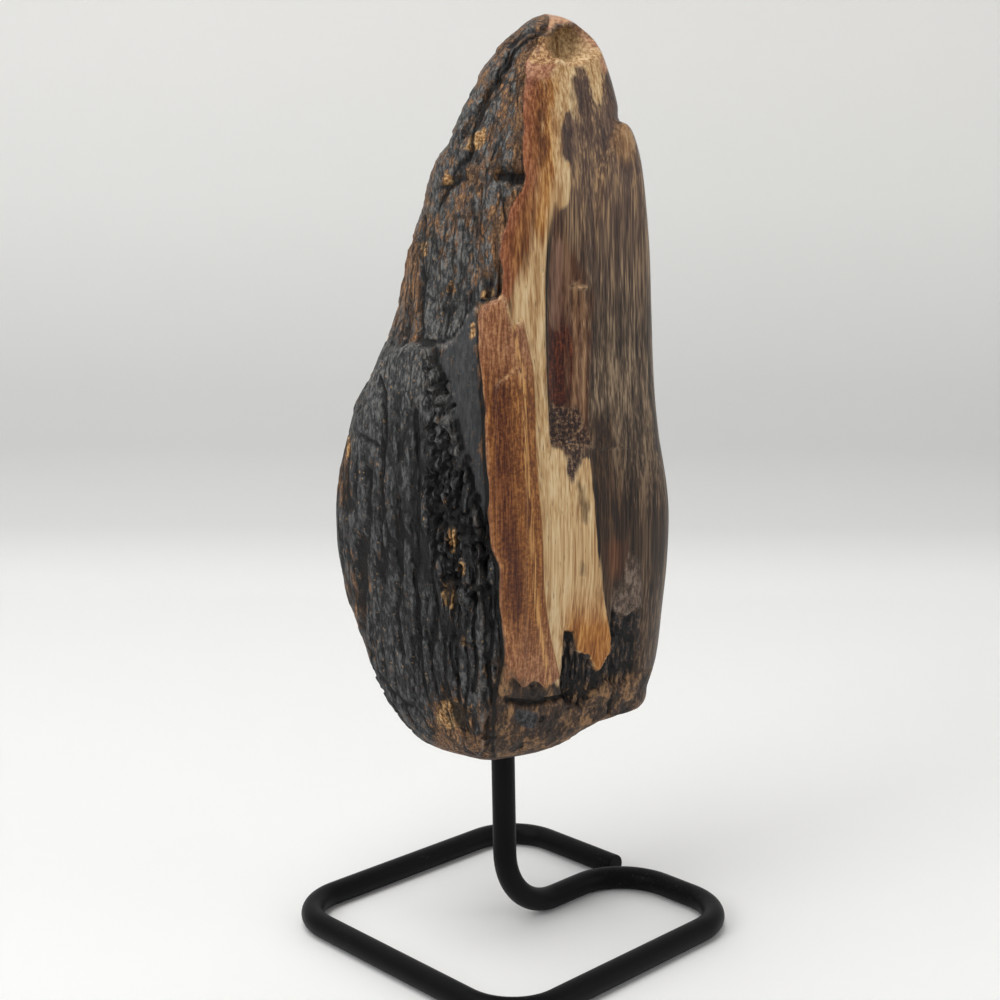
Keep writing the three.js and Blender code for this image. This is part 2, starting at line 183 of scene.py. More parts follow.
# Name, then metres across, ahead and up, size, power and colour
LAMPS = [
    ("overhead", -0.25, -0.25, 1.4, 0.9, 9.2, (1.0, 0.99, 0.97)),
    ("front_left", -0.9, -0.75, 0.85, 0.6, 5.0, (0.98, 0.99, 1.0)),
    ("right", 1.3, -0.4, 0.6, 0.8, 2.8, (1.0, 0.98, 0.96)),
]
for lamp_name, sideways, forwards, up, size, power, lamp_colour in LAMPS:
    place = sideways * ACROSS + forwards * AHEAD + Vector((0, 0, up))
    add_lamp(lamp_name, place, STONE_MIDDLE, size, power, lamp_colour)
world = bpy.data.worlds.new("pale_room")
world.use_nodes = True
world.node_tree.nodes["Background"].inputs["Color"].default_value = (0.93, 0.94, 0.95, 1.0)
world.node_tree.nodes["Background"].inputs["Strength"].default_value = 0.36
bpy.context.scene.world = world


# Rod stand: one 8 mm round steel bar, cold bent into a square loop that lies on the table, led
# inwards and turned up into the post. The free end is sawn square and its rim eased; the whole is
# sprayed with a satin black coat that has a fine orange-peel and a few dust marks.
MM = 0.001
ROD_RADIUS = 3.999 * MM
ROD_LEVEL = 4 * MM
BASE_HALF = 54.75 * MM
CORNER_BEND = 19 * MM
INWARD_BEND = 21 * MM
UPWARD_BEND = 24 * MM
FREE_END_Y = 1.0 * MM
INWARD_RUN_Y = -1.3 * MM
POST_X = -4.6 * MM
POST_LEAN = math.radians(1.2)
POST_TOP = 88 * MM
ROD_SIDES = 40
BEND_STEPS = 18
SAWN_RIM = 0.45 * MM


def post_point(height):
    """A point on the post's middle line, which leans slightly to the camera's left."""
    shift = (height - ROD_LEVEL) * math.tan(POST_LEAN)
    return Vector((POST_X, INWARD_RUN_Y, height)) - shift * ACROSS


def make_rod():
    """The rod's ring is led along each straight run and spun round each bend, as the bar was bent."""
    corners = [
        (Vector((BASE_HALF, FREE_END_Y, ROD_LEVEL)), 0),
        (Vector((BASE_HALF, BASE_HALF, ROD_LEVEL)), CORNER_BEND),
        (Vector((-BASE_HALF, BASE_HALF, ROD_LEVEL)), CORNER_BEND),
        (Vector((-BASE_HALF, -BASE_HALF, ROD_LEVEL)), CORNER_BEND),
        (Vector((BASE_HALF, -BASE_HALF, ROD_LEVEL)), CORNER_BEND),
        (Vector((BASE_HALF, INWARD_RUN_Y, ROD_LEVEL)), INWARD_BEND),
        (Vector((POST_X, INWARD_RUN_Y, ROD_LEVEL)), UPWARD_BEND),
        (post_point(POST_TOP), 0),
    ]
    rod = bmesh.new()
    facing = Matrix.Translation(corners[0][0]) @ Matrix.Rotation(-math.pi / 2, 4, "X")
    bmesh.ops.create_circle(rod, cap_ends=False, segments=ROD_SIDES, radius=ROD_RADIUS, matrix=facing)
    ring = list(rod.edges)
    first = list(ring)
    here = corners[0][0]
    for before, (corner, bend), after in zip(corners, corners[1:], corners[2:] + [None]):
        arriving = (corner - before[0]).normalized()
        leaving = (after[0] - corner).normalized() if after else arriving
        turn = arriving.angle(leaving) if after else 0
        goal = corner - arriving * bend * math.tan(turn / 2)
        led = bmesh.ops.extrude_edge_only(rod, edges=ring)["geom"]
        moved = moved_vertices(led)
        bmesh.ops.translate(rod, vec=goal - here, verts=moved)
        kept = set(moved)
        ring = [e for e in made_edges(led) if kept.issuperset(e.verts)]
        here = goal
        if after:
            axis = arriving.cross(leaving).normalized()
            centre = goal + axis.cross(arriving) * bend
            whole_ring = ring + list({v for e in ring for v in e.verts})
            spun = bmesh.ops.spin(rod, geom=whole_ring, cent=centre, axis=axis, angle=turn,
                                  steps=BEND_STEPS, use_duplicate=False)["geom_last"]
            ring = made_edges(spun)
            here = corner + leaving * bend * math.tan(turn / 2)
    bmesh.ops.holes_fill(rod, edges=ring, sides=0)
    bmesh.ops.holes_fill(rod, edges=first, sides=0)
    bmesh.ops.remove_doubles(rod, verts=rod.verts, dist=1e-6)
    bmesh.ops.recalc_face_normals(rod, faces=rod.faces)
    for face in rod.faces:
        face.smooth = len(face.verts) == 4
    rim = [e for e in rod.edges if any(len(f.verts) > 4 for f in e.link_faces)]
    bmesh.ops.bevel(rod, geom=rim, offset=SAWN_RIM, segments=3, profile=0.5, affect="EDGES", material=-1)
    data = bpy.data.meshes.new("rod_stand_finish")
    rod.to_mesh(data)
    rod.free()
    return data


def new_group(name, inputs, output, kind):
    """An empty shader node group with its sockets: the group, what it is given and its output."""
    group = bpy.data.node_groups.new(name, "ShaderNodeTree")
    for socket, socket_kind in inputs:
        group.interface.new_socket(socket, in_out="INPUT", socket_type=socket_kind)
    group.interface.new_socket(output, in_out="OUTPUT", socket_type=kind)
    given = add_node(group, "NodeGroupInput").outputs
    return group, given, add_node(group, "NodeGroupOutput").inputs[output]


def dust_group():
    """Pale dust lying in small scattered marks: puts out a mask."""
    group, given, out = new_group("dust marks", [
        ("Place", "NodeSocketVector"), ("Marks per metre", "NodeSocketFloat"),
        ("Amount", "NodeSocketFloat")], "Mask", "NodeSocketFloat")
    patches = add_node(group, "ShaderNodeTexNoise", {
        "Vector": given["Place"], "Scale": 28.0, "Detail": 1.0})
    where = add_node(group, "ShaderNodeMapRange", {"Value": patches.outputs["Fac"], 1: 0.52, 2: 0.68})
    specks = add_node(group, "ShaderNodeTexNoise", {
        "Vector": given["Place"], "Scale": given["Marks per metre"], "Detail": 3.0, "Roughness": 0.7})
    marks = add_node(group, "ShaderNodeMapRange", {"Value": specks.outputs["Fac"], 1: 0.60, 2: 0.72})
    both = add_node(group, "ShaderNodeMath", {
        0: where.outputs[0], 1: marks.outputs[0]}, operation="MULTIPLY")
    mask = add_node(group, "ShaderNodeMath", {
        0: both.outputs[0], 1: given["Amount"]}, operation="MULTIPLY")
    group.links.new(mask.outputs[0], out)
    return group


DUST = dust_group()
COAT_BLACK = tint(7, 7, 9)
DUST_GREY = tint(84, 82, 80)
COAT_ROUGHNESS = (0.40, 0.54)
coat_material, coat_tree, coat_shader = new_material(
    "satin_black_coat", Metallic=0.0, IOR=1.5, Specular_IOR_Level=0.12)
coat_place = add_node(coat_tree, "ShaderNodeTexCoord").outputs["Object"]
coat_dust = add_node(coat_tree, "ShaderNodeGroup", {
    "Place": coat_place, "Marks per metre": 900.0, "Amount": 0.4}, node_tree=DUST)
coat_colour = add_node(coat_tree, "ShaderNodeMix", {
    0: coat_dust.outputs["Mask"], 6: COAT_BLACK, 7: DUST_GREY}, data_type="RGBA")
coat_tree.links.new(coat_colour.outputs[2], coat_shader.inputs["Base Color"])
coat_peel = add_node(coat_tree, "ShaderNodeTexNoise", {
    "Vector": coat_place, "Scale": 1400.0, "Detail": 2.0})
coat_gloss = add_node(coat_tree, "ShaderNodeMapRange", {
    "Value": coat_peel.outputs["Fac"], 3: COAT_ROUGHNESS[0], 4: COAT_ROUGHNESS[1]})
coat_tree.links.new(coat_gloss.outputs[0], coat_shader.inputs["Roughness"])
coat_bump = add_node(coat_tree, "ShaderNodeBump", {
    "Height": coat_peel.outputs["Fac"], "Strength": 0.25, "Distance": 0.0001})
coat_tree.links.new(coat_bump.outputs["Normal"], coat_shader.inputs["Normal"])
rod_stand = new_piece("rod_stand_finish", make_rod(), coat_material)
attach(rod_stand, "root")
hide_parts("rod_stand")


# Petrified wood: one stone, once a split log. Its left keeps the bark, turned to rough charcoal
# silica with a swollen lobe, ledges and crumbled blocks; its right was ground and polished down to
# the wood. It is drilled from below and glued on the post. Lengths in this section are millimetres.
STONE_LOW = 61
STONE_HIGH = 305
STONE_TURN = math.radians(-44.35)
COLUMNS = 372
ROWS = 256
FRONT_CROWDING = 0.5
SECTION_SHARPNESS = 9
END_CALM = 12
EYE_ACROSS = -4.8
EYE_DISTANCE = 521.6
EYE_HEIGHT = 247.4

# Outline from the front: height, then distance across from the base's centre
LEFT_SIDE = [
    (61, -10), (62, -18), (64, -22.5), (67, -27), (71, -31.2), (76, -36), (82, -41.4), (88, -45),
    (94, -47.8), (100, -49.8), (108, -52.8), (119, -56.3), (134, -58.6), (149, -59), (161, -57.4),
    (173, -54.6), (182, -51.8), (190, -47.6), (198, -44), (206, -40.6), (215, -37.6), (228, -35),
    (242, -31), (255, -27), (261, -24.2), (264, -21.5), (274, -16.4), (284, -11.6), (294, -4.8),
    (300, 0.6), (303.5, 5), (305, 9)]
RIGHT_SIDE = [
    (61, -10), (62.5, 2), (64.5, 8), (67, 13.5), (71, 20), (75, 26), (78, 32.5), (79.8, 42.2),
    (88, 45), (98, 47.6), (116, 49.2), (130, 50.3), (146, 50.6), (157, 49.6), (173, 46.8),
    (190, 45), (213, 43.8), (232, 42.8), (248, 41.2), (259, 39.6), (266, 37.6), (270.5, 35.2),
    (272, 32.4), (277, 31.8), (288, 28.6), (296, 25), (301, 19.6), (304, 14), (305, 9)]
FRONT_EDGE = [
    (61, -8), (90, -7.5), (125, -6.5), (160, -9.5), (200, -10.5), (225, -7), (262, 0), (290, 5), (305, 9)]
FRONT_DEPTH = [
    (61, 0), (62.5, 9), (66, 20), (71, 30), (78, 36), (90, 40.5), (115, 43.5), (150, 45.5), (190, 42.5),
    (220, 38.5), (250, 33), (275, 26), (290, 19.5), (298, 13.5), (303, 7), (305, 0)]
BACK_DEPTH = [
    (61, 0), (62.5, 10), (66, 19), (72, 27), (85, 34), (110, 38.5), (150, 40), (190, 37), (230, 31),
    (260, 25), (285, 17), (298, 11), (303, 5.5), (305, 0)]
ROW_HEIGHTS = [(0, 61), (0.05, 63), (0.1, 68.5), (0.16, 78), (0.22, 90), (0.88, 287), (0.96, 302), (1, 305)]

# Lines on an upright sheet through the base's centre, as the eye sees them: height, then across
LOBE_EDGE = [
    (110, -10), (131, -11), (140, -11.5), (153, -15), (168, -19), (179, -22), (188, -26),
    (196, -28)]
STRIP_LEFT = [
    (80, -6), (97, -3), (113, -5), (127, -5), (135, -8), (157, -9), (178, -10), (191, -11), (205, -12),
    (214, -11), (217, -5), (233, -5), (247, -1), (252, 2), (268, 2), (290, 3), (297, 6.5),
    (301, 9.5), (305, 10)]
STRIP_RIGHT = [(86, 16), (104, 12), (118, 10), (140, 9), (165, 7), (191, 6), (205, 3.5), (215, 1)]
RECESS_LEFT = [(160, 13), (169, 12), (187, 11), (216, 10), (254, 11)]
CREAM_RIGHT = [(95, 35), (103, 33), (127, 29), (148, 27), (165, 25)]
RIGHT_LOBE = [(216, 25), (241, 26), (258, 27), (265, 30), (273, 33)]
BACK_BARK = [(61, 2), (110, -4), (160, 3), (220, -6), (270, -2), (305, 8)]
# Across, then height
LOBE_TOP = [(-60, 176), (-52, 186), (-48, 190), (-41, 198.5), (-34, 201), (-29, 200), (-25, 195)]
BARK_LEDGE = [(-60, 197), (-40, 201), (-26, 201), (-20, 205), (-17, 211), (-10, 215), (0, 216)]
BASE_CRACK = [(-7, 79), (0, 80), (12, 81), (20, 82), (45, 80)]
STRIP_TOP = [(-12, 214), (-10, 216), (-3, 216), (-1.5, 209), (0, 207.5), (4, 209), (5.5, 205), (7, 200)]
STRIP_FOOT = [(-7, 92), (-3, 87), (0, 89), (3, 85.5), (7, 88), (11, 85), (14, 88), (18, 87)]

# Breaks in the surface: points across and up, then half the width and the depth
CRACKS = [
    ([(-42.8, 190), (-41.5, 172), (-42.8, 157), (-43.5, 138), (-42.8, 121)], 0.7, 1.8),
    ([(-31.8, 180), (-31, 160), (-31.8, 142), (-32.5, 125), (-31, 104), (-31.5, 92)], 0.7, 1.7),
    ([(-37.5, 150), (-36.5, 130), (-38, 112), (-36.5, 96)], 0.55, 1.2),
    ([(-26.5, 165), (-25.5, 148), (-27, 130), (-25.5, 112), (-26.5, 96)], 0.55, 1.3),
    ([(-47.5, 160), (-47, 146), (-48.3, 131)], 0.6, 1.3),
    ([(-20.5, 128), (-19.5, 112), (-20.5, 96), (-18, 86)], 0.55, 1.2),
    ([(-14, 140), (-12.5, 124), (-13.5, 108), (-12, 94), (-13, 84)], 0.55, 1.2),
    ([(-8.5, 120), (-7.8, 106), (-8.6, 92), (-8, 80)], 0.6, 1.3),
    ([(-54, 171.5), (-49, 171), (-44, 167.5)], 0.9, 1.0),
    ([(-33, 105), (-27, 101), (-20, 103), (-12, 99)], 0.6, 0.9),
    ([(-45, 146), (-39, 147.5), (-34, 145)], 0.6, 0.8),
    ([(-30.5, 246), (-31.5, 232), (-32.8, 216), (-33, 203)], 0.7, 1.4),
    ([(-24, 251), (-20, 252.5), (-16, 254.5)], 0.9, 1.1),
    ([(-25, 244), (-22.8, 250), (-15.3, 261), (-8.8, 279.5), (-2.3, 290.4), (4.2, 297.3),
      (9.5, 299.7)], 0.45, 1.3),
    ([(-17, 266), (-11, 275), (-6.5, 285), (-2, 293)], 0.4, 0.9),
    ([(-1, 295), (4, 299.3), (9.8, 300)], 0.9, 1.8),
    ([(34.2, 96), (34.4, 86), (34, 76)], 0.45, 1.8),
    ([(-3, 80.5), (3, 79.5), (8, 79.2), (14, 81), (20, 82.5)], 0.9, 2.0),
    ([(27, 168), (29.5, 174), (31.5, 180)], 0.5, 0.5),
]

TOP_SLAB_EDGE = [(-25, 244), (-15.3, 261), (-8.8, 279.5), (-2.3, 290.4), (6, 299)]
BLOCK_PATCH = [[
    (-28, 195), (-24, 190), (-20, 172), (-15, 156), (-10, 142), (-8, 128), (-10, 116), (-18, 108),
    (-24, 118), (-27, 140), (-29, 158), (-28, 176)]]
NOTCH_FLOOR = 252.2
NOTCH_RIM = 251.6
NOTCH_SLOPE = 0.25
# How far parts of the front stand out or lie deeper than its plain form
PLATE_DEPTH = 2.6
SIDE_DEPTH = 2.6
SLIVER_DEPTH = 2.8
NOTCH_DEPTH = 2.8
BLOCK_GAP_DEPTH = 2.2
RECESS_DEPTH = 3.0
TOP_SLAB_RISE = 1.5
LOBE_RISE = 1.4
BLOCK_RISE = 1.3
STRIP_RISE = 1.3
RIGHT_LOBE_RISE = 1.4
# The pit under the tip and the shelf on its left: middle across and up, and half its size each way
PIT = (17.4, 296.0, 9.4, 5.7)
PIT_DEPTH = 6.4
SHELF = (8, 293.8)
SHELF_DEPTH = 2.4

# Markings, each by its outline on the sheet: across, then height
MARKS = {
    "cream": [[
        (8, 292), (12.4, 291), (18.4, 290.6), (18.9, 286), (18.7, 271.8), (17.1, 275.7), (14.5, 271.6),
        (14.1, 263.3), (15.4, 260.8), (17.6, 259.7), (17.6, 253), (16.8, 247), (14.3, 243.5),
        (12.6, 247), (12, 243), (11.6, 239.3), (10.3, 224.7), (10.9, 204), (11.4, 185.8), (12.1, 173.4),
        (12.4, 167), (14.5, 168), (17, 165.8), (18.5, 163.5), (17.1, 159.2), (19.3, 157.6), (21, 160.6),
        (22.1, 163.5), (25.2, 164), (25.9, 155.6), (27.7, 141.4), (29.3, 127.1), (31.5, 112.6),
        (33.1, 101.6), (32.9, 96.6), (31.1, 95.2), (28.4, 90.1), (26.3, 95.2), (21.3, 98.1),
        (20.8, 103.2), (17.5, 103.9), (16.9, 90.8), (15, 86), (2, 88), (0, 150), (-2, 215), (-3, 250),
        (4, 270), (8, 289)],
        [(20.8, 291), (27.6, 292), (27.1, 285), (26.9, 276.8), (24.6, 280), (22.9, 285)]],
    "gold_grain": [[
        (9, 286), (11.5, 287), (12.4, 270), (13.4, 256), (12.8, 247), (11.6, 240), (9, 233), (5, 240),
        (6.5, 258), (7.4, 272)]],
    "red_band": [[
        (2, 288), (9, 288), (10.2, 282), (9.2, 270), (8.6, 259), (7.6, 248), (5.8, 239), (3.1, 227.4),
        (-0.5, 219), (-2, 214), (-14, 214), (-14, 250)]],
    "pink_facet": [[(2, 292.5), (7, 292.5), (12.6, 290.5), (11.2, 286.5), (8, 284.8), (2, 285.4)]],
    "apex_rim": [[
        (5.5, 300), (8, 306), (16, 306), (24, 300), (30, 290), (27.6, 286), (25.8, 291), (23.6, 298),
        (18, 302.5), (12, 302), (9.5, 299)]],
    "smoke_dark": [[
        (18.9, 286), (18.7, 272), (17.4, 274), (14.6, 270), (14.3, 263), (15.5, 260), (18, 259),
        (19.5, 266), (21.6, 276), (22, 285)],
        [(28, 291), (31, 284), (33, 275), (30.5, 266), (28, 262), (27.6, 276)]],
    "lobe_tip": [[(30.2, 262.5), (32, 270), (33.6, 272.6), (36, 269), (36.4, 263), (33.5, 258)]],
    "recess": [[
        (11.9, 240), (12.8, 246), (15, 243), (18, 233), (22, 224), (24.2, 216), (24.4, 176),
        (22.8, 167), (18.5, 163.8), (16, 166), (12.2, 168), (11.4, 186), (10.9, 204), (10.4, 222)]],
    "pink_column": [[(12.4, 236), (15.4, 234), (15.2, 212), (14.2, 205.5), (12.4, 207)]],
    "maroon": [[(11.2, 209), (14, 206), (16, 209), (18.6, 206), (18.9, 182), (17, 176), (12, 177)]],
    "tan_lines": [
        [(19.8, 221), (21, 222.5), (20.9, 190), (20.6, 177), (19.9, 177), (20, 200)],
        [(21.9, 219), (23.2, 219), (23.1, 200), (23, 173), (22.2, 173), (22.1, 200)]],
    "crumbs": [[
        (11.8, 182), (12, 168), (14.5, 168.6), (17, 166.4), (18.5, 163.8), (17.1, 159.4), (19.3, 157.8),
        (21, 160.8), (22.2, 166), (25.9, 168), (24, 175), (20.5, 180), (16, 181)]],
    "lower_brown": [[
        (25.2, 176), (25.6, 166), (26, 156), (27.9, 141), (29.5, 127), (31.7, 112.6), (33.2, 101),
        (35, 104), (38, 116), (37.5, 140), (34, 165), (30, 180)]],
    "red_patch": [[(32, 133.7), (34, 136), (36.6, 135), (36.8, 126), (34.6, 123), (32.6, 125)]],
    "pillar": [[
        (34.6, 112), (34.8, 119), (36, 120.5), (37, 118), (38, 127.5), (40.4, 132), (41.8, 128),
        (42.2, 114), (39, 110)]],
    "char": [[
        (17.1, 104.5), (20.9, 104.6), (20.7, 98), (23, 97), (26.1, 95), (28.8, 89.6), (31.1, 93.7),
        (33.2, 97.4), (34.4, 113), (37.5, 109), (42.2, 113), (42.7, 98), (41.5, 88.5), (36, 85),
        (32, 87), (27, 83), (24, 78), (18, 80), (16, 84)]],
    "crust": [[
        (-9, 78), (-7.4, 84), (-6.8, 95), (-5, 101.5), (-3, 97), (-1, 89), (3, 85), (8, 86.5), (13, 86),
        (16, 83), (22, 85), (28, 87), (34, 88), (40, 90), (48, 92), (52, 58), (-4, 58)]],
    "smudge": [
        [(20.8, 156), (23, 154), (24.6, 147), (24, 141.5), (22.4, 143), (21.4, 149)],
        [(22.4, 129), (23.6, 128.5), (23.2, 124), (22.2, 124.5)]],
    "foot_chip": [[(1, 77), (9, 76), (7.4, 70.4), (3, 71), (0, 73.5)]],
    "gold": [
        [(-22.5, 139.5), (-20, 141), (-18.9, 137), (-19.5, 130.6), (-22, 132)],
        [(-18.9, 128.5), (-17, 129), (-16.2, 124.5), (-18, 123.5)],
        [(-24.4, 121), (-21, 122.5), (-19.2, 118), (-20.5, 112.5), (-23.5, 115)],
        [(-17.9, 103.5), (-16.5, 103), (-15, 99.5), (-17, 100)],
        [(-25.7, 77), (-24, 81), (-19, 81.5), (-16.2, 77), (-16.4, 72), (-22, 70.5), (-25, 73)],
        [(-13, 216), (-11, 219.5), (-8, 219.5), (-7.2, 217), (-10, 215.5)],
        [(-24.5, 219), (-22.5, 222), (-21, 219), (-22.5, 216)],
        [(-55.6, 171), (-53.6, 170.5), (-53, 165), (-55, 163.5)],
        [(-16, 263), (-14, 267), (-10.5, 270), (-9.5, 267), (-13, 263)],
        [(-32.2, 229), (-30.2, 229.5), (-29.8, 234), (-31.2, 235.5), (-32.4, 233)],
        [(-23, 251.5), (-20.5, 252), (-19.8, 255), (-22, 256)],
        [(-16, 202.5), (-14.6, 203), (-14.4, 208), (-15.8, 208)]],
}


def curve_at(points, along):
    """Smooth curve through listed points (along, value), flat beyond its ends."""
    xs, ys = np.array(points, float).T
    slopes = np.empty(len(xs))
    slopes[1:-1] = (ys[2:] - ys[:-2]) / (xs[2:] - xs[:-2])
    slopes[0] = (ys[1] - ys[0]) / (xs[1] - xs[0])
    slopes[-1] = (ys[-1] - ys[-2]) / (xs[-1] - xs[-2])
    clipped = np.clip(along, xs[0], xs[-1])
    i = np.clip(np.searchsorted(xs, clipped) - 1, 0, len(xs) - 2)
    span = xs[i + 1] - xs[i]
    t = (clipped - xs[i]) / span
    keep = 2 * t**3 - 3 * t**2 + 1
    bend = (t**3 - 2 * t**2 + t) * span * slopes[i] + (t**3 - t**2) * span * slopes[i + 1]
    return keep * ys[i] + (1 - keep) * ys[i + 1] + bend


def ramp(value, low, high):
    """0 below low, 1 above high, smooth between."""
    t = np.clip((value - low) / (high - low), 0, 1)
    return t * t * (3 - 2 * t)


def step(distance, width=0.8):
    """A ledge's edge: 0 on one side of a line and 1 on the other."""
    return ramp(distance, -width / 2, width / 2)


def hump(distance, half_width):
    """A rounded rise about a line or a point."""
    return np.exp(-((distance / half_width) ** 2))


def lattice_value(x, y, z, seed):
    """A fixed value from -1 to 1 for each whole-number place."""
    mixed = (x * 73856093) ^ (y * 19349663) ^ (z * 83492791) ^ (seed * 2654435761)
    mixed = (mixed ^ (mixed >> 13)) * 1274126177 & 0xFFFFFFFF
    mixed = (mixed ^ (mixed >> 15)) * 668265263 & 0xFFFFFFFF
    return ((mixed ^ (mixed >> 16)) & 0xFFFF) / 32767.5 - 1


def mottle(x, y, z, seed):
    """A smooth field of soft lumps about one unit across, from -1 to 1."""
    cells = [np.floor(v).astype(np.int64) for v in (x, y, z)]
    shares = [v - c for v, c in zip((x, y, z), cells)]
    shares = [s * s * (3 - 2 * s) for s in shares]
    total = 0
    for corner in range(8):
        ups = [(corner >> axis) & 1 for axis in range(3)]
        weight = 1
        for up, share in zip(ups, shares):
            weight = weight * (share if up else 1 - share)
        total = total + weight * lattice_value(*(c + up for c, up in zip(cells, ups)), seed)
    return total


def slabs(x, y, z, seed):
    """Uneven slabs about one unit across: how near the gap between two is, and each slab's level."""
    base = [np.floor(v).astype(np.int64) for v in (x, y, z)]
    first = np.full(x.shape, 9.0)
    second = np.full(x.shape, 9.0)
    level = np.zeros(x.shape)
    for number in range(27):
        cell = [b + (number // 3**axis) % 3 - 1 for axis, b in enumerate(base)]
        centre = [c + 0.5 + 0.45 * lattice_value(*cell, seed + axis) for axis, c in enumerate(cell)]
        away = np.sqrt(sum((v - c) ** 2 for v, c in zip((x, y, z), centre)))
        nearer = away < first
        second = np.where(nearer, first, np.minimum(second, away))
        level = np.where(nearer, lattice_value(*cell, seed + 3), level)
        first = np.where(nearer, away, first)
    return second - first, level


def line_distance(points, across, height):
    """Distance to a line of straight runs on the sheet."""
    best = np.full(across.shape, 1e3)
    for (x0, y0), (x1, y1) in zip(points, points[1:]):
        dx, dy = x1 - x0, y1 - y0
        t = np.clip(((across - x0) * dx + (height - y0) * dy) / (dx * dx + dy * dy), 0, 1)
        best = np.minimum(best, np.hypot(across - x0 - t * dx, height - y0 - t * dy))
    return best


def inside_distance(outlines, across, height):
    """Distance to the nearest outline, positive inside one of them."""
    best = np.full(across.shape, -1e3)
    for points in outlines:
        inside = np.zeros(across.shape, bool)
        for (x0, y0), (x1, y1) in zip(points, points[1:] + points[:1]):
            crosses = (y0 > height) != (y1 > height)
            inside ^= crosses & (across < x0 + (x1 - x0) * (height - y0) / ((y1 - y0) or 1.0))
        away = line_distance(points + points[:1], across, height)
        best = np.maximum(best, np.where(inside, away, -away))
    return np.maximum(best, -9.0)


def bark_texture(x, y, z, across, height, rough):
    """Bark's own relief: split slabs along the grain and fine rubble. Gives the height, and the painted
    shade that darkens the cracks between the slabs.
    """
    bent = z + 3 * mottle(x / 6, y / 6, z / 16, 15)
    gap, level = slabs(x / 5.2, y / 5.2, bent / 30, 101)
    fine_gap, fine_level = slabs(x / 2.1, y / 2.1, bent / 13, 131)
    open_here = 0.25 + 0.75 * ramp(mottle(x / 9, y / 9, z / 20, 17), -0.4, 0.5)
    long_gap = (1 - ramp(gap, 0.03, 0.17)) * open_here
    short_gap = (1 - ramp(fine_gap, 0.05, 0.3)) * ramp(mottle(x / 7, y / 7, z / 12, 18), 0.0, 0.7)
    rubble = mottle(x / 2.2, y / 2.2, z / 2.6, 23) + 0.6 * mottle(x / 1.1, y / 1.1, z / 1.4, 24)
    upper = ramp(height, 205, 235)
    coarse = upper + ramp(across, -30, -22) * (1 - ramp(height, 150, 165))
    long_gap = long_gap * (1 - 0.5 * upper)
    relief = 0.32 * level + 0.14 * fine_level - 1.0 * long_gap - 0.45 * short_gap
    relief = rough * (relief + (0.10 + 0.34 * np.clip(coarse, 0, 1)) * rubble)
    # The second value is painted shade for the cracks between slabs.
    return relief, rough * np.clip(long_gap + 0.7 * short_gap * (1 - 0.4 * upper), 0, 1)


def line_side(points, across, height):
    """Distance from a line, positive on its upper left."""
    away = line_distance(points, across, height)
    xs, ys = np.array(points, float).T
    return np.where(across < np.interp(height, ys, xs), away, -away)


